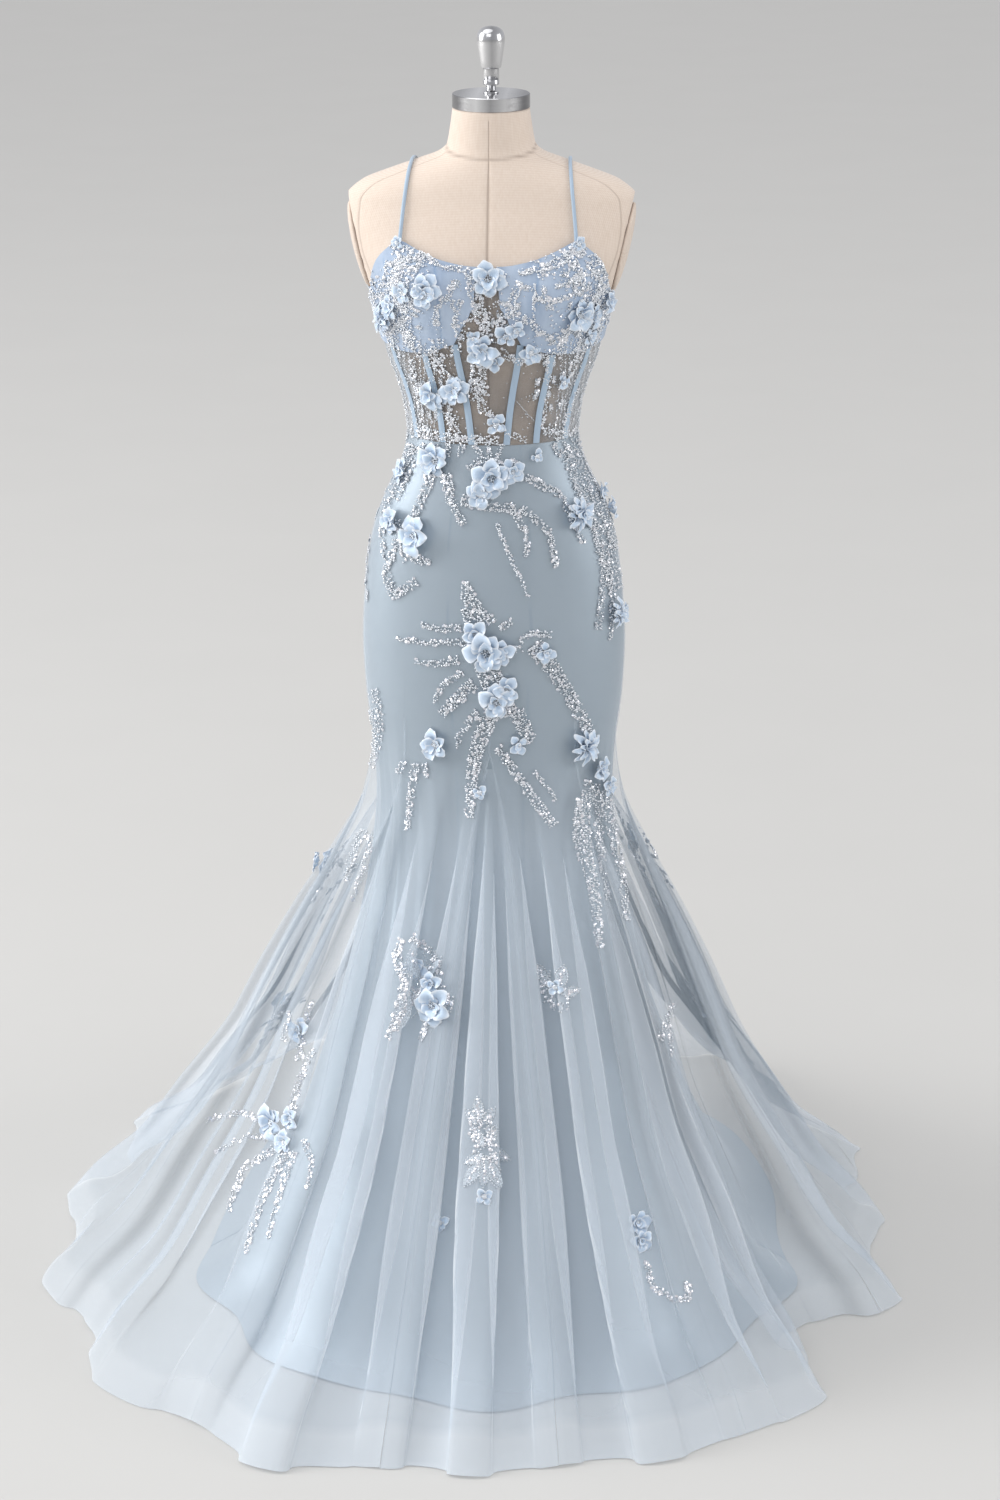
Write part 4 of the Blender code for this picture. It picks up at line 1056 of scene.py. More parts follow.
def clothTree(sheets):
    points, faces = [], []
    for sheet in sheets:
        base = len(points)
        points += [vert.co.copy() for vert in sheet.data.vertices]
        faces += [[base + index for index in face.vertices] for face in sheet.data.polygons]
    return BVHTree.FromPolygons(points, faces)


bodicePieces = [clothPieces["cupLeftPiece"], clothPieces["cupRightPiece"], *midriffSheets]
dressTree = clothTree(bodicePieces + tulleSheets)
draws = random.Random(7)


def fromView(across, down):
    # where the line of sight through this place of the 1000 x 1500 picture meets the cloth,
    # or through the nearest place further in
    for _ in range(40):
        ray = (cameraAhead + cameraRight * (across - 500 + cameraSizes["shift"]) / cameraSizes["focus"]
               - cameraUp * (down - 750) / cameraSizes["focus"]).normalized()
        spot, normal = dressTree.ray_cast(cameraSpot, ray)[:2]
        if spot is not None:
            break
        across += 1.5 if across < 494 else -1.5
        down += 1.0 if down < 300 else 0.0
    return spot, normal


def fromRound(angle, height):
    # the same from all round, beside a seam where it would fall into one, and below an edge
    for step in range(80):
        turn = math.radians(angle + (0.0, 0.3, -0.3, 0.6)[step % 4])
        away = Vector((math.sin(turn), -math.cos(turn), 0.0))
        start = away * 1.5 + Vector((0, 0, height - 0.003 * (step // 4)))
        spot, normal = dressTree.ray_cast(start, -away, 1.5)[:2]
        if spot is not None:
            break
    return spot, normal


def frameAt(spot, normal):
    # across, up and outwards on the cloth
    outward = normal.normalized()
    across = Vector((0, 0, 1)).cross(outward)
    across = across.normalized() if across.length > 1e-4 else Vector((1, 0, 0))
    return across, outward.cross(across), outward


def softNormal(spot, normal):
    # the cloth's general direction, without its small folds
    level = Vector((spot.x, spot.y * 1.3, 0)).normalized()
    return (normal + level * 1.5).normalized()


def land(spot, axes, across, up, reach=0.07):
    # a place on the cloth, this far across and up from the middle of a motif
    start = spot + axes[0] * across + axes[1] * up + axes[2] * reach
    found, normal = dressTree.ray_cast(start, -axes[2], reach * 2.2)[:2]
    return found, normal


# ---- beads, sequins and stitched leaves ----
trims = {}
trimSizes = {"bead": 0.0016, "sequin": 0.0026}


def trimList(group):
    return trims.setdefault(group, {"bead": [], "sequin": [], "leaf": []})


def addTrim(group, kind, spot, normal, size, turn=0.0):
    if spot is not None:
        trimList(group)[kind].append((spot, normal, size, turn))


class Motif:
    # a place on the dress, from which beads are laid across and up
    def __init__(self, group, spot, normal, heading=0.0, scale=1.0):
        self.group = group
        self.spot = spot
        self.axes = frameAt(spot, softNormal(spot, normal))
        self.heading = math.radians(heading)
        self.scale = scale

    def lay(self, kind, across, up, size, turn=0.0):
        cos, sin = math.cos(self.heading), math.sin(self.heading)
        right, above = (across * cos + up * sin) * self.scale, (up * cos - across * sin) * self.scale
        found, normal = land(self.spot, self.axes, right, above)
        addTrim(self.group, kind, found, normal, size, turn - self.heading)

    def strand(self, start, heading, length, curl, spacing=0.0032, taper=0.4, sequins=0.18):
        # a line of beads that curls; heading is from straight up, and turns clockwise
        angle, across, up = math.radians(heading), *start
        steps = int(length / spacing)
        places = []
        for step in range(steps):
            share = step / max(1, steps)
            places.append((across, up, angle))
            size = trimSizes["bead"] * (1 - taper * share) * draws.uniform(0.8, 1.2)
            if draws.random() < sequins:
                self.lay("sequin", across, up, trimSizes["sequin"] * draws.uniform(0.8, 1.2))
            else:
                self.lay("bead", across, up, size)
            across += math.sin(angle) * spacing
            up += math.cos(angle) * spacing
            angle += math.radians(curl) / max(1, steps)
        return places

    def leaf(self, start, heading, length, width):
        # a stitched leaf, outlined with beads, a few sequins inside
        angle = math.radians(heading)
        along = (math.sin(angle), math.cos(angle))
        side = (along[1], -along[0])
        middle = (start[0] + along[0] * length / 2, start[1] + along[1] * length / 2)
        self.lay("leaf", *middle, (length / 2 * 1.02, width / 2 * 1.05), angle)
        count = max(4, int(length / 0.0034))
        for step in range(count + 1):
            share = step / count
            half = width / 2 * math.sin(math.pi * share) ** 0.8
            for way in (-1, 1):
                self.lay("bead", start[0] + along[0] * length * share + side[0] * half * way,
                         start[1] + along[1] * length * share + side[1] * half * way,
                         trimSizes["bead"] * draws.uniform(0.65, 0.95))
        for step in range(int(length / 0.0042)):
            share = (step + 0.7) / (length / 0.0042 + 0.7)
            self.lay("sequin", start[0] + along[0] * length * share + side[0] * draws.uniform(-1, 1) * width * 0.12,
                     start[1] + along[1] * length * share + side[1] * draws.uniform(-1, 1) * width * 0.12,
                     trimSizes["sequin"] * draws.uniform(0.7, 1.05))

    def frond(self, start, heading, length, curl, leaves, leafLong=0.020, leafWide=0.0085):
        # a stem of beads with leaves on both sides and one at its end
        stem = self.strand(start, heading, length, curl)
        for number in range(leaves):
            share = (number + 1.0) / (leaves + 0.6)
            across, up, angle = stem[min(len(stem) - 1, int(share * len(stem)))]
            way = 1 if number % 2 else -1
            size = 1.0 - 0.45 * share
            self.leaf((across, up), math.degrees(angle) + way * draws.uniform(34, 52), leafLong * size,
                      leafWide * size)
        across, up, angle = stem[-1]
        self.leaf((across, up), math.degrees(angle), leafLong * 0.6, leafWide * 0.55)

    def scatter(self, radius, beads, sequins, middle=(0.0, 0.0), tall=1.0):
        for kind, count in (("bead", beads), ("sequin", sequins)):
            for _ in range(count):
                turn, reach = draws.uniform(0, 2 * math.pi), radius * math.sqrt(draws.random())
                self.lay(kind, middle[0] + math.cos(turn) * reach, middle[1] + math.sin(turn) * reach * tall,
                         trimSizes[kind] * draws.uniform(0.65, 1.15))


def seenMotif(group, across, down, heading=0.0, scale=1.0):
    return Motif(group, *fromView(across, down), heading, scale)


def roundMotif(group, angle, height, heading=0.0, scale=1.0):
    return Motif(group, *fromRound(angle, height), heading, scale)


def seenBand(group, places, wide=6.0, narrow=2.0, size=1.0, sequins=0.2):
    # a band of beads along a line through places of the picture, on the cloth; widths in its pixels
    knots = np.array(places, dtype=float)
    step = np.concatenate(([0], np.cumsum(np.linalg.norm(np.diff(knots, axis=0), axis=-1))))
    fine = np.linspace(0, step[-1], max(6, int(step[-1])))
    line = np.stack([np.interp(fine, step, knots[:, axis]) for axis in range(2)], -1)
    for _ in range(int(len(fine) / 9)):
        line[1:-1] = (line[:-2] + 2 * line[1:-1] + line[2:]) / 4
    ahead = np.gradient(line, axis=0)
    ahead /= np.linalg.norm(ahead, axis=-1, keepdims=True)
    pitch = 1.9 * size
    for along in np.arange(0, step[-1], pitch):
        here = min(len(line) - 1, int(along / step[-1] * len(line)))
        share = along / step[-1]
        width = wide + (narrow - wide) * share
        for _ in range(max(1, round(width / 2.2))):
            offset = draws.uniform(-0.5, 0.5) * width
            spot, normal = fromView(line[here][0] - ahead[here][1] * offset, line[here][1] + ahead[here][0] * offset)
            kind = "sequin" if draws.random() < sequins else "bead"
            addTrim(group, kind, spot, normal, trimSizes[kind] * size * draws.uniform(0.6, 1.15))


def beadShapes():
    # each shape is modelled once: a round bead, a bicone bead, a cupped sequin and a leaf of thread
    bpy.ops.object.select_all(action="DESELECT")
    bpy.ops.mesh.primitive_ico_sphere_add(subdivisions=1, radius=1.0)
    bead = bpy.context.object
    bpy.ops.object.select_all(action="DESELECT")
    bpy.ops.mesh.primitive_cone_add(vertices=5, radius1=1.0, radius2=0.0, depth=1.0, end_fill_type="NOTHING")
    bicone = bpy.context.object
    bpy.ops.object.mode_set(mode="EDIT")
    bpy.ops.mesh.select_all(action="SELECT")
    bpy.ops.transform.translate(value=(0, 0, 0.5))
    bpy.ops.mesh.duplicate()
    bpy.ops.transform.resize(value=(1, 1, -1), center_override=(0, 0, 0))
    bpy.ops.mesh.select_all(action="SELECT")
    bpy.ops.mesh.remove_doubles(threshold=0.001)
    bpy.ops.mesh.normals_make_consistent(inside=False)
    bpy.ops.object.mode_set(mode="OBJECT")
    bpy.ops.object.select_all(action="DESELECT")
    bpy.ops.mesh.primitive_cone_add(vertices=6, radius1=1.0, radius2=0.0, depth=0.24)
    sequin = bpy.context.object
    bpy.ops.object.select_all(action="DESELECT")
    bpy.ops.mesh.primitive_cylinder_add(vertices=9, radius=1.0, depth=1.0)
    leaf = bpy.context.object
    leafMesh = leaf.data
    for vert in leafMesh.vertices:
        vert.co.x *= 1.0 - 0.35 * abs(vert.co.y) ** 1.5
    shapes = {}
    for kind, piece in (("bead", bead), ("bicone", bicone), ("sequin", sequin), ("leaf", leaf)):
        points = np.array([vert.co for vert in piece.data.vertices])
        faces = [list(face.vertices) for face in piece.data.polygons]
        shapes[kind] = (points, faces)
        data = piece.data
        bpy.data.objects.remove(piece, do_unlink=True)
        bpy.data.meshes.remove(data)
    return shapes


def joinTrim(name, kind, places, shape, material):
    points, faces = shape
    allPoints, allFaces = [], []
    for number, (spot, normal, size, turn) in enumerate(places):
        across, upward, outward = (np.array(axis) for axis in frameAt(spot, normal))
        if kind == "leaf":
            half, wide = size
            along = across * math.sin(turn) + upward * math.cos(turn)
            side = np.cross(along, outward)
            local = (points[:, :1] * wide * side + points[:, 1:2] * half * along
                     + (points[:, 2:] * 0.0003 + 0.0004) * outward)
        else:
            tilt = np.array([draws.gauss(0, 0.34 if kind == "sequin" else 0.0) for _ in range(3)])
            outward = outward + tilt
            outward /= np.linalg.norm(outward)
            across = np.cross(upward, outward)
            across /= np.linalg.norm(across)
            upward = np.cross(outward, across)
            lift = 0.72 * size if kind == "bead" else 0.0009 + 0.10 * size
            local = size * (points[:, :1] * across + points[:, 1:2] * upward + points[:, 2:] * outward)
            local = local + outward * lift
        base = number * len(points)
        allPoints.append(local + np.array(spot))
        allFaces += [[base + index for index in face] for face in faces]
    piece = meshPiece(name, np.concatenate(allPoints).tolist(), allFaces, smooth=kind == "bead")
    finishPiece(piece, "petal_organza", (), material)
    return piece


# ---- the flowers ----
flowerRows = (  # name, layer, angle, height, radius, petals, turn
    ("neckline", "gore", 1.0, 1.4520, 0.026, 6, 10), ("cup_right", "cup", -34.0, 1.4400, 0.024, 5, 35),
    ("cup_side_right", "cup", -66.0, 1.3900, 0.025, 6, 0), ("cup_side_left", "cup", 54.0, 1.4020, 0.026, 6, 20),
    ("bust", "midriff", -3.0, 1.3600, 0.026, 5, 50), ("midriff_right", "midriff", -28.0, 1.2980, 0.025, 5, 15),
    ("waist_right", "overlay", -46.0, 1.2020, 0.026, 6, 25),
    ("waist_centre", "overlay", 2.0, 1.1830, 0.031, 6, 5), ("hip_right", "overlay", -52.0, 1.1000, 0.029, 6, 40),
    ("hip_left", "overlay", 61.0, 1.1300, 0.030, 6, 15), ("thigh_left", "overlay", 77.0, 0.9850, 0.024, 5, 0),
    ("thigh_centre", "overlay", -2.0, 0.9480, 0.033, 6, 30),
    ("knee_centre", "overlay", 5.0, 0.8800, 0.028, 5, 0), ("knee_right", "overlay", -37.0, 0.8150, 0.024, 5, 20),
    ("knee_left", "overlay", 60.0, 0.8080, 0.030, 6, 10),
    ("sweep_front", "overlay", -16.0, 0.4950, 0.028, 6, 20),
    ("sweep_right", "overlay", -52.0, 0.3100, 0.028, 6, 35),
)
petalSizes = {"thick": 0.00035, "rows": 7, "columns": 5}


def makePetal(cup, curl, ruffle, wide=1.0):
    # one petal lying along +Y from its foot, 1 long: a grid whose rows are resized and lifted
    rows, columns = petalSizes["rows"], petalSizes["columns"]
    bpy.ops.object.select_all(action="DESELECT")
    bpy.ops.mesh.primitive_grid_add(x_subdivisions=columns, y_subdivisions=rows, size=1.0, location=(0, 0, 0))
    petal = bpy.context.object
    bpy.ops.object.mode_set(mode="EDIT")
    bpy.ops.mesh.select_all(action="SELECT")
    bpy.ops.transform.translate(value=(0, 0.5, 0))
    bpy.ops.object.mode_set(mode="OBJECT")
    widths = tuple(wide * width for width in (0.20, 0.50, 0.80, 1.02, 1.14, 1.14, 0.98, 0.62))
    data = petal.data
    for row in range(rows + 1):
        for vert in data.vertices:
            vert.select = abs(vert.co.y - row / rows) < 0.01
        for edge in data.edges:
            edge.select = False
        for face in data.polygons:
            face.select = False
        bpy.ops.object.mode_set(mode="EDIT")
        bpy.ops.mesh.select_mode(type="VERT")
        bpy.ops.transform.resize(value=(widths[row] * 0.86, 1, 1), center_override=(0, row / rows, 0))
        bpy.ops.object.mode_set(mode="OBJECT")
    rim = data.attributes.new("rim", "FLOAT", "POINT")
    for vert, mark in zip(data.vertices, rim.data):
        across, up = vert.co.x, vert.co.y
        row = round(up * rows)
        share = abs(across) / (widths[row] * 0.43)
        mark.value = max(share ** 4, max(0.0, (up - 0.8) / 0.2) ** 1.5)
        vert.co.y = up - 0.16 * share ** 2 * up + 0.03 * math.sin(across * 13) * up
        vert.co.z = (cup * across * across * 2.2 + curl * math.sin(up * 2.2) - 0.5 * max(0.0, up - 0.66)
                     + ruffle * math.sin(across * 15 + up * 5) * share * up)
    layer = data.uv_layers.new(name="petal") if not data.uv_layers else data.uv_layers[0]
    for loop, spot in zip(data.loops, layer.data):
        vert = data.vertices[loop.vertex_index]
        spot.uv = (vert.co.x * 0.05, vert.co.y * 0.05)
    return petal


def petalCopy(petal, radius, turn, tilt, rise, foot=0.10):
    # a copy with its own mesh, turned about its foot and set round the flower's middle
    data = petal.data.copy()
    lean = Matrix.Rotation(math.radians(tilt), 4, "X")
    spin = Matrix.Rotation(turn, 4, "Z")
    data.transform(spin @ Matrix.Translation((0, foot * radius, rise)) @ lean @ Matrix.Scale(radius, 4))
    return data


def joinMeshes(name, meshes):
    pieces = []
    for data in meshes:
        part = bpy.data.objects.new(name, data)
        bpy.context.scene.collection.objects.link(part)
        pieces.append(part)
    for other in bpy.context.selected_objects:
        other.select_set(False)
    for part in pieces:
        part.select_set(True)
    bpy.context.view_layer.objects.active = pieces[0]
    bpy.ops.object.join()
    return bpy.context.object


petals = [makePetal(0.30, 0.22, 0.075), makePetal(0.55, 0.34, 0.060), makePetal(0.10, 0.12, 0.100)]
narrowPetal = makePetal(1.40, 0.30, 0.050, 0.42)


def flowerMesh(name, spot, normal, radius, count, turn, seed, openness, shaggy):
    picks = random.Random(seed)
    meshes = []
    rings = ((0.84, 14, count, 0.0005, 0.20), (0.60, 38, count - 1, 0.0015, 0.16))
    if shaggy:
        rings = ((0.92, 14, 9, 0.0005, 0.10), (0.84, 34, 8, 0.0012, 0.08), (0.70, 56, 7, 0.0020, 0.06))
    for ring, (share, tilt, number, rise, foot) in enumerate(rings):
        for step in range(number):
            angle = math.radians(turn + ring * 31) + 2 * math.pi * (step + picks.uniform(-0.22, 0.22)) / number
            size = radius * share * picks.uniform(0.72, 1.06)
            lean = tilt * picks.uniform(0.3, 1.6) * openness
            meshes.append(petalCopy(narrowPetal if shaggy else picks.choice(petals), size, angle, lean, rise,
                                    foot * radius / size))
    piece = joinMeshes(name, meshes)
    axes = frameAt(spot, normal)
    piece.data.transform(Matrix.Translation(spot) @ Matrix(axes).transposed().to_4x4())
    apply(piece, "SOLIDIFY", {"thickness": petalSizes["thick"], "offset": 1.0})
    piece.data.shade_smooth()
    piece.data.set_sharp_from_angle(angle=math.radians(70))
    return piece


flowerPieces = {}


def strapRoot(side):
    root = Vector(strapPath(side)[0])
    return root, Vector((root.x * 0.5, root.y, 0)).normalized()


def makeFlower(name, spot, normal, radius, count, turn, nodes=(), openness=1.0, shaggy=False):
    seed = sum(ord(letter) for letter in name) * 7
    piece = flowerMesh(name, spot, normal, radius, count, turn, seed, openness, shaggy)
    finishPiece(piece, "petal_organza", nodes)
    flowerPieces[name] = piece
    # a knot of beads at its heart
    axes = frameAt(spot, normal)
    group = "Heart"
    for step in range(0 if shaggy else 19):
        angle, reach = step * 2.4, 0.0014 * math.sqrt(step) * radius / 0.026
        place = (spot + axes[0] * math.cos(angle) * reach + axes[1] * math.sin(angle) * reach
                 + axes[2] * (0.0042 - reach * 0.35))
        addTrim(group, "bead", place, axes[2], trimSizes["bead"] * draws.uniform(0.7, 1.1))


def makeFlowers():
    layers = {"cup": 0.0059, "gore": 0.0030, "midriff": 0.0030, "overlay": 0.0038}
    for name, layer, angle, height, radius, count, turn in flowerRows:
        spot, normal = fromRound(angle, height)
        label = "flower" + "".join(part.title() for part in name.split("_"))
        makeFlower(label, spot + normal * 0.0002, softNormal(spot, normal), radius, count, turn,
                   [f"flower_{name}"], 1.0, name in ("hip_left", "thigh_left", "knee_left", "cup_side_right"))
    # smaller ones that stand beside them: place in the picture, radius, petals
    extra = (
        (404, 292, 0.017, 5), (388, 318, 0.014, 5),
        (592, 316, 0.018, 5), (588, 336, 0.014, 4), (516, 330, 0.015, 4), (494, 360, 0.016, 4), (474, 338, 0.014, 4),
        (458, 386, 0.014, 4), (440, 400, 0.014, 4), (425, 296, 0.019, 5), (392, 306, 0.018, 5), (478, 352, 0.018, 5), (530, 352, 0.017, 5), (506, 336, 0.018, 4),
        (606, 300, 0.018, 5), (562, 382, 0.013, 4), (496, 425, 0.018, 4), (432, 395, 0.020, 5),
        (393, 520, 0.022, 6), (404, 470, 0.019, 5), (512, 470, 0.019, 5), (480, 494, 0.020, 5), (536, 456, 0.012, 3),
        (612, 508, 0.019, 5), (600, 492, 0.019, 5), (622, 612, 0.018, 5), (476, 634, 0.022, 5), (500, 652, 0.022, 5),
        (506, 690, 0.021, 5), (545, 652, 0.016, 4), (518, 744, 0.015, 4), (480, 792, 0.013, 3),
        (598, 768, 0.021, 5), (607, 786, 0.019, 5), (416, 968, 0.021, 5), (432, 984, 0.019, 5), (556, 986, 0.014, 4),
        (300, 1030, 0.022, 5), (292, 1118, 0.020, 5), (286, 1142, 0.019, 5), (636, 1222, 0.020, 5),
        (640, 1240, 0.019, 5), (484, 1196, 0.015, 4), (318, 862, 0.018, 5), (440, 1222, 0.014, 4),
    )
    for number, (across, down, radius, count) in enumerate(extra):
        spot, normal = fromView(across, down)
        makeFlower(f"smallFlower{number + 1:02d}", spot + normal * 0.0002, softNormal(spot, normal), radius, count,
                   number * 37, (), 1.25)
    # a tuft over the root of each strap
    for label, side in (("Left", 1), ("Right", -1)):
        spot, normal = strapRoot(side)
        makeFlower(f"strapTuft{label}", spot + normal * 0.0025, normal, 0.011, 5, 20, (), 1.25)


makeFlowers()
print("flowers made:", len(flowerPieces))


def bodiceTrim():
    group = "Bodice"
    # bands along the neckline, across the cups and under them: places, widths
    for places, wide, narrow in (
        (((408, 245), (425, 258), (446, 268), (470, 270)), 9, 5), (((584, 243), (566, 258), (545, 268), (518, 272)), 12, 6),
        (((453, 288), (437, 308), (436, 326)), 9, 6), (((461, 300), (452, 326)), 6, 4), (((418, 286), (408, 306)), 14, 8),
        (((534, 297), (552, 301), (576, 294)), 7, 5), (((556, 287), (580, 279)), 5, 4), (((524, 316), (538, 331), (566, 338)), 6, 5),
        (((590, 262), (600, 290), (600, 320)), 8, 7), (((520, 282), (512, 300), (520, 330)), 10, 6),
        (((470, 272), (476, 300), (488, 336)), 14, 12), (((546, 354), (549, 379), (542, 428)), 5, 4),
        (((577, 388), (571, 405), (563, 424)), 5, 4), (((411, 360), (418, 390), (424, 430)), 6, 5),
        (((480, 366), (477, 390), (484, 412)), 18, 10), (((430, 348), (446, 376), (462, 396)), 12, 8),
        (((440, 392), (452, 414), (456, 440)), 14, 12), (((412, 428), (446, 438), (498, 440)), 12, 8),
        (((488, 412), (500, 430), (526, 440)), 8, 5), (((546, 428), (556, 436), (580, 436)), 12, 14),
        (((500, 352), (520, 362), (538, 352)), 10, 6), (((566, 330), (560, 350), (548, 358)), 8, 6),
        (((404, 318), (410, 340), (424, 356)), 14, 10), (((584, 334), (580, 352), (570, 372)), 12, 6),
        (((394, 262), (388, 292), (392, 330)), 16, 12), (((404, 256), (398, 282)), 12, 8),
        (((396, 300), (402, 326), (412, 346)), 14, 10), (((386, 300), (392, 336), (402, 358)), 9, 7),
        (((594, 254), (606, 284), (606, 312)), 15, 12), (((602, 310), (594, 336), (584, 352)), 12, 9),
        (((564, 256), (586, 252)), 11, 9), (((574, 262), (586, 286)), 9, 6), (((596, 300), (588, 326)), 10, 7),
        (((452, 300), (457, 330), (460, 352)), 5, 4), (((534, 284), (534, 322)), 4, 3),
    ):
        seenBand(group, places, wide, narrow)
    # lines of small beads down both sides
    for number in range(10):
        high, low = 386 + number * 5.6, 405 + number * 3.4
        seenBand(group, ((high, 322 + number * 3), ((high + low) / 2 - 2, 378), (low, 438)), 2, 2, 0.72, 0.1)
        high, low = 602 - number * 4.4, 583 - number * 3.2
        seenBand(group, ((high, 318 + number * 3), ((high + low) / 2 + 2, 378), (low, 438)), 2, 2, 0.72, 0.1)
    # stitched leaves over the cups, and finer ones over the corset
    for number in range(110):
        across, down = draws.uniform(388, 606), draws.uniform(252, 345)
        if abs(across - 496) < 22 and down < 300 or 440 < across < 560 and number % 2:
            continue
        motif = seenMotif("Lace", across, down, draws.uniform(0, 360))
        motif.leaf((0, 0), 0, draws.uniform(0.010, 0.017), draws.uniform(0.004, 0.007))
    for number in range(46):
        way = -1 if number % 2 else 1
        motif = seenMotif("Lace", 495 + way * draws.uniform(40, 88), draws.uniform(350, 436), draws.uniform(150, 210))
        motif.leaf((0, 0), 0, draws.uniform(0.009, 0.014), draws.uniform(0.004, 0.006))
    for side in (-1, 1):
        Motif(group, *strapRoot(side)).scatter(0.010, 24, 12, (0.0, -0.007))
    # a loose thread with a bead at each end
    seenBand(group, ((511, 395), (534, 421)), 1, 1, 0.55, 0.0)
    for across, down, radius, beads, sequins in (
        (490, 282, 0.024, 30, 16), (552, 262, 0.026, 40, 26), (588, 300, 0.024, 44, 24), (412, 268, 0.024, 40, 26),
        (402, 300, 0.020, 34, 20), (500, 318, 0.026, 50, 26), (488, 344, 0.020, 36, 12), (478, 390, 0.016, 40, 14),
        (440, 348, 0.018, 36, 14), (556, 352, 0.018, 24, 10), (556, 320, 0.014, 8, 4), (470, 330, 0.016, 26, 8),
    ):
        seenMotif(group, across, down).scatter(radius, beads, sequins)
    # the outer sides of the cups are worked all over
    for side in (-1, 1):
        for angle, height, radius in ((50, 1.452, 0.026), (60, 1.425, 0.026), (70, 1.440, 0.022), (56, 1.395, 0.024),
                                      (74, 1.405, 0.024), (84, 1.425, 0.022), (86, 1.390, 0.020), (66, 1.375, 0.020)):
            motif = roundMotif(group, side * angle, height)
            motif.scatter(radius, 34, 14)
            for _ in range(3):
                spread = draws.uniform(-0.02, 0.02), draws.uniform(-0.02, 0.02)
                motif.leaf(spread, draws.uniform(0, 360), draws.uniform(0.012, 0.018), draws.uniform(0.005, 0.008))
    # single small beads all over the front
    for number in range(520):
        angle, height = draws.uniform(-84, 84), draws.uniform(1.235, 1.46)
        if abs(angle) > 26 or draws.random() < 0.35:
            spot, normal = fromRound(angle, height)
            addTrim("Dust", "bead", spot, normal, trimSizes["bead"] * draws.uniform(0.5, 0.85))
    for angle, height, heading in ((110, 1.345, 190), (130, 1.33, 200), (150, 1.32, 175), (100, 1.29, 180),
                                   (122, 1.28, 190), (-110, 1.345, 170), (-130, 1.33, 160), (-150, 1.32, 185),
                                   (-100, 1.29, 180), (-122, 1.28, 170)):
        way = 30 if angle > 0 else -30
        roundMotif("BodiceBack", angle, height).frond((0, 0), heading, 0.06, way, 5, 0.014, 0.006)


def hipTrim():
    group = "Hip"
    # waist motif: arms that fan down from the flower at centre front
    for places, wide, narrow in (
        (((446, 474), (450, 498), (463, 524)), 12, 8), (((462, 500), (490, 507), (516, 508)), 12, 10),
        (((497, 524), (508, 552), (529, 597)), 5, 4), (((514, 512), (528, 536), (525, 556)), 8, 5),
        (((522, 508), (548, 530), (557, 566)), 8, 6), (((526, 478), (560, 494), (583, 543)), 9, 5),
        (((468, 468), (480, 460), (520, 462)), 6, 6),
    ):
        seenBand(group, places, wide, narrow)
    # hooks that come round from the wearer's right side
    for places, wide, narrow in (
        (((437, 450), (427, 486), (411, 527), (411, 556), (429, 564)), 10, 9),
        (((397, 540), (386, 572), (394, 596), (417, 581)), 8, 10), (((388, 500), (382, 530), (384, 560)), 8, 4),
        (((414, 446), (404, 474), (392, 500)), 16, 12), (((398, 520), (401, 545), (405, 562)), 5, 3),
    ):
        seenBand(group, places, wide, narrow)
    # a dense fall down the wearer's left side
    for places, wide, narrow in (
        (((566, 447), (582, 481), (604, 537), (618, 590)), 18, 16), (((590, 452), (600, 490), (616, 550)), 14, 10),
        (((572, 478), (594, 530), (604, 574), (598, 630)), 6, 7), (((606, 560), (613, 600), (610, 640)), 8, 4),
    ):
        seenBand(group, places, wide, narrow, 0.85)
    # a row over the waist seam
    for across in range(410, 592, 13):
        if not 508 < across < 550:
            seenBand(group, ((across, 444), (across + draws.uniform(-4, 8), 457)), 7, 4)
    # own sprays on the sides that the picture doesn't show
    for angle, height, heading in ((100, 1.18, 180), (120, 1.12, 190), (-100, 1.18, 180), (-120, 1.12, 170),
                                   (150, 1.19, 185), (-150, 1.19, 175), (-88, 1.08, 176)):
        roundMotif("Back", angle, height).frond((0, 0), heading, 0.085, 24 if angle > 0 else -24, 5, 0.015, 0.007)


def thighTrim():
    group = "Thigh"
    for places, wide, narrow in (
        (((466, 582), (470, 604), (482, 628)), 7, 34), (((512, 622), (500, 628)), 8, 10),
        (((460, 627), (440, 629), (422, 624)), 8, 5), (((466, 642), (430, 643), (397, 638)), 8, 4),
        (((458, 660), (436, 664), (416, 661)), 9, 5), (((462, 672), (444, 684), (434, 702)), 8, 4),
        (((474, 684), (458, 698), (442, 714)), 15, 10), (((478, 712), (462, 730), (455, 748)), 9, 6),
        (((492, 712), (478, 744), (472, 776), (469, 818)), 18, 9), (((516, 712), (532, 742)), 18, 12),
        (((498, 748), (526, 788), (554, 826)), 9, 10), (((534, 772), (546, 786), (556, 800)), 5, 5),
        (((521, 642), (530, 632), (552, 635)), 6, 7), (((534, 646), (552, 668), (572, 700), (590, 734)), 18, 12),
        (((508, 650), (522, 648)), 8, 7), (((486, 664), (496, 690), (506, 716)), 24, 26),
    ):
        seenBand(group, places, wide, narrow)
    for places, wide, narrow in (
        (((373, 690), (380, 712), (378, 742), (371, 768)), 10, 8), (((372, 710), (374, 750)), 8, 6),
    ):
        seenBand(group, places, wide, narrow, 0.9)


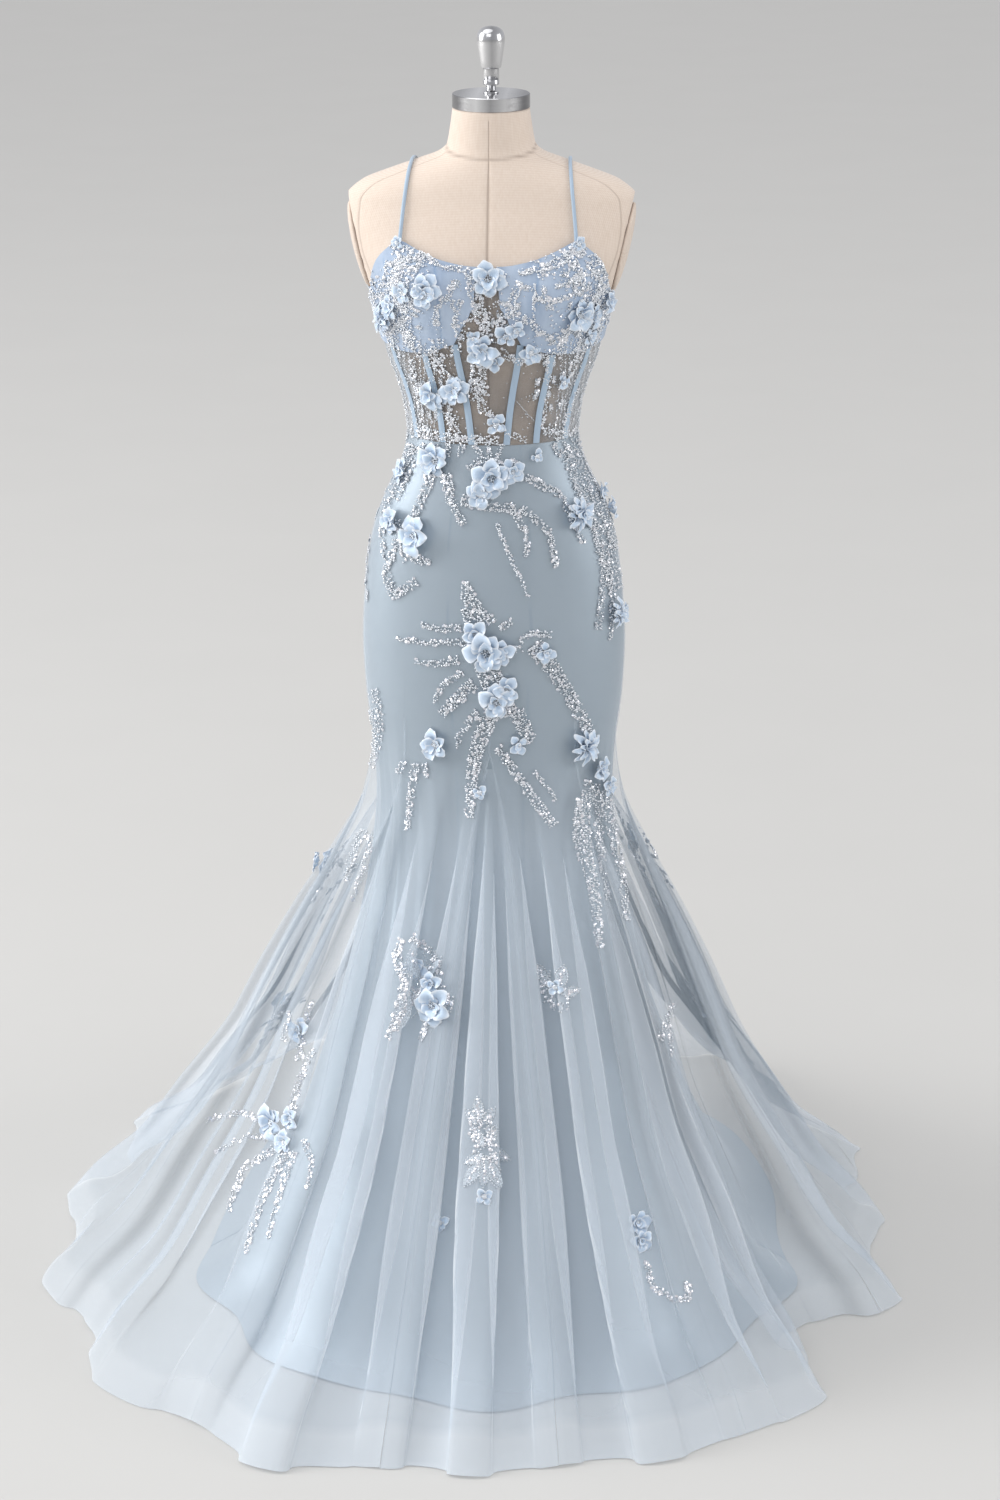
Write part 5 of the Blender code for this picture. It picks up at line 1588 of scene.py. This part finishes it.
def kneeTrim():
    group = "Knee"
    for places, wide, narrow in (
        (((416, 764), (412, 790), (407, 830)), 9, 6), (((402, 762), (398, 774)), 8, 6), (((424, 764), (428, 778)), 6, 5),
        (((592, 782), (582, 812), (586, 850), (596, 900), (600, 948)), 16, 8),
        (((604, 790), (612, 830), (622, 876), (626, 920)), 14, 6), (((580, 800), (574, 830), (580, 860)), 8, 5),
        (((598, 800), (600, 850), (608, 900)), 10, 6), (((364, 830), (354, 850), (346, 880)), 9, 6),
        (((372, 836), (366, 862), (352, 900)), 8, 4),
    ):
        seenBand(group, places, wide, narrow)


def sweepTrim():
    group = "Sweep"
    for places, wide, narrow in (
        (((300, 1060), (304, 1030), (312, 1000)), 8, 5), (((284, 1040), (290, 1012)), 7, 4),
        (((292, 1112), (298, 1084), (314, 1050)), 8, 5), (((276, 1128), (244, 1112), (206, 1120)), 8, 5),
        (((278, 1138), (246, 1136), (216, 1152)), 6, 4), (((280, 1146), (244, 1168), (228, 1212)), 9, 5),
        (((286, 1152), (262, 1200), (246, 1252)), 10, 5), (((294, 1152), (278, 1200), (268, 1238)), 8, 4),
        (((304, 1140), (312, 1160), (308, 1190)), 7, 4), (((412, 938), (432, 950), (440, 975)), 9, 6),
        (((396, 950), (404, 985), (388, 1040)), 9, 6), (((416, 990), (404, 1010), (396, 1030)), 12, 6),
        (((436, 985), (450, 1000), (446, 1016)), 12, 8), (((424, 1000), (428, 1020), (420, 1040)), 8, 5),
        (((402, 940), (394, 958)), 6, 4), (((646, 1262), (652, 1286), (672, 1300), (688, 1298), (688, 1282)), 6, 8),
        (((660, 1040), (666, 1018), (672, 1006)), 7, 6), (((672, 1004), (668, 1030), (672, 1056)), 6, 4),
    ):
        seenBand(group, places, wide, narrow, 1.05, 0.4)
    # outlined leaves in silver
    for across, down, heading, leaves in (
        (552, 990, 0, ((330, 0.036, 0.016), (20, 0.034, 0.017), (80, 0.026, 0.013), (180, 0.020, 0.010))),
        (480, 1128, 0, ((352, 0.034, 0.014), (35, 0.026, 0.012), (318, 0.024, 0.011), (100, 0.018, 0.010))),
        (486, 1152, 0, ((160, 0.044, 0.017), (186, 0.038, 0.015), (214, 0.046, 0.016), (120, 0.032, 0.013),
                        (242, 0.026, 0.012), (20, 0.028, 0.012), (334, 0.030, 0.012))),
        (424, 984, 0, ((340, 0.044, 0.018), (30, 0.040, 0.018), (200, 0.050, 0.020), (160, 0.044, 0.018))),
    ):
        motif = seenMotif(group, across, down, heading)
        motif.scatter(0.017, 34, 30, tall=1.5)
        for turn, length, width in leaves:
            lean = math.radians(turn)
            motif.leaf((0.006 * math.sin(lean), 0.006 * math.cos(lean)), turn, length, width)
    # the back and the side that the picture doesn't show carry the same sprays, further apart
    for angle, height in ((150, 0.95), (-150, 0.95), (180, 1.08), (168, 0.52), (-160, 0.40), (110, 0.62),
                          (128, 0.30), (-118, 0.55), (-135, 0.24), (180, 0.24)):
        motif = roundMotif("Back", angle, height)
        motif.scatter(0.030, 56, 34)
        for heading, length, curl in ((180, 0.10, 10), (205, 0.08, -20), (155, 0.08, 20), (0, 0.05, 12),
                                      (265, 0.05, -30), (95, 0.05, 30)):
            motif.frond((0, 0), heading, length, curl, 5, 0.016, 0.0075)
    for angle, height, radius in ((150, 0.95, 0.026), (-150, 0.95, 0.026), (180, 1.08, 0.030), (168, 0.52, 0.026),
                                  (-160, 0.40, 0.027), (110, 0.62, 0.024), (128, 0.30, 0.026), (-118, 0.55, 0.025),
                                  (-135, 0.24, 0.026), (180, 0.24, 0.028)):
        spot, normal = fromRound(angle, height)
        makeFlower(f"backFlower{len(flowerPieces) + 1:02d}", spot + normal * 0.0002, softNormal(spot, normal),
                   radius, 6, angle)


bodiceTrim()
hipTrim()
thighTrim()
kneeTrim()
sweepTrim()
for part in (*petals, narrowPetal):
    data = part.data
    bpy.data.objects.remove(part, do_unlink=True)
    bpy.data.meshes.remove(data)
shapes = beadShapes()
biconeGroups = ("Dust", "Lace", "Back", "BodiceBack", "Sweep")
trimPieces = []
for group, kinds in trims.items():
    for kind, material in (("bead", beadMaterial), ("sequin", sequinMaterial), ("leaf", threadMaterial)):
        if kinds[kind]:
            shape = shapes["bicone" if kind == "bead" and group in biconeGroups else kind]
            trimPieces.append(joinTrim(f"{kind}s{group}", kind, kinds[kind], shape, material))
print("trim made:", {piece.name: len(piece.data.polygons) for piece in trimPieces})

# ---- what each sheet was cut to ----
def carriedBy(carriers, pieces):
    # each piece goes with the one that lies nearest to the most of it
    trees = [clothTree([carrier]) for carrier in carriers]
    found = {carrier.name: [] for carrier in carriers}
    for piece in pieces:
        verts = piece.data.vertices
        spots = [verts[index].co for index in range(0, len(verts), max(1, len(verts) // 60))]
        reach = [sum(tree.find_nearest(spot)[3] for spot in spots) for tree in trees]
        found[carriers[reach.index(min(reach))].name].append(piece)
    return found


sewnOn = carriedBy([clothPieces["cupLeftPiece"], clothPieces["cupRightPiece"], *midriffSheets, *tulleSheets],
                   [*flowerPieces.values(), *trimPieces, *boningPieces])
for sheet in midriffSheets:
    declareSheet(sheet)
for sheet in satinSheets:
    declareSheet(sheet)
for sheet in tulleSheets:
    declareSheet(sheet)

# ---- camera, floor and light ----
stageSizes = {"floor": (0.585, 0.577, 0.557), "reach": 60.0}


def makeStage():
    # one wide pale floor, so that no edge of it shows from any side
    bpy.ops.object.select_all(action="DESELECT")
    bpy.ops.mesh.primitive_circle_add(vertices=96, radius=stageSizes["reach"], fill_type="NGON")
    floor = bpy.context.object
    floor.name = "studioFloor"
    floor.data.materials.append(stageFinish("paleStage", stageSizes["floor"]))
    floor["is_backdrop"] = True


def addLight(name, spot, aim, size, power, colour=(1, 1, 1)):
    data = bpy.data.lights.new(name, "AREA")
    data.shape, data.size, data.size_y = "RECTANGLE", size[0], size[1]
    data.energy, data.color = power, colour
    light = bpy.data.objects.new(name, data)
    light.location = spot
    light.rotation_euler = (Vector(aim) - Vector(spot)).to_track_quat("-Z", "Y").to_euler()
    bpy.context.scene.collection.objects.link(light)


def addSun(name, spot, spread, strength):
    data = bpy.data.lights.new(name, "SUN")
    data.angle, data.energy = math.radians(spread), strength
    light = bpy.data.objects.new(name, data)
    light.rotation_euler = Vector(spot).to_track_quat("Z", "Y").to_euler()
    bpy.context.scene.collection.objects.link(light)


def makeCamera():
    data = bpy.data.cameras.new("camera")
    data.lens, data.sensor_width = cameraSizes["lens"], 36.0
    data.shift_x = cameraSizes["shift"] / 1500
    camera = bpy.data.objects.new("camera", data)
    turn = Matrix((cameraRight, cameraUp, -cameraAhead)).transposed()
    camera.matrix_world = Matrix.Translation(cameraSpot) @ turn.to_4x4()
    bpy.context.scene.collection.objects.link(camera)
    bpy.context.scene.camera = camera


makeStage()
addLight("keySoftbox", (-8.4, -0.8, 3.9), (0, 0, 0.9), (4.6, 5.4), 560)
addLight("fillSoftbox", (8.4, -1.6, 3.4), (0, 0, 0.8), (4.8, 5.0), 235)
addLight("frontSoftbox", (-2.4, -8.4, 7.2), (0, 0, 0.9), (6.0, 4.0), 150)
addSun("ceilingGlow", (-0.35, -0.1, 1.0), 60.0, 1.0)
world = bpy.data.worlds.new("studio")
world.use_nodes = True
world.node_tree.nodes["Background"].inputs["Color"].default_value = (0.95, 0.96, 1.0, 1.0)
world.node_tree.nodes["Background"].inputs["Strength"].default_value = 0.58
bpy.context.scene.world = world
bpy.context.scene.view_settings.view_transform = "Standard"
makeCamera()
print("stage ready")

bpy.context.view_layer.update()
triangles = {piece.name: sum(len(face.vertices) - 2 for face in piece.data.polygons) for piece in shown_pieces()}
print("triangles in all:", sum(triangles.values()), "most in a piece:", max(triangles.values()))
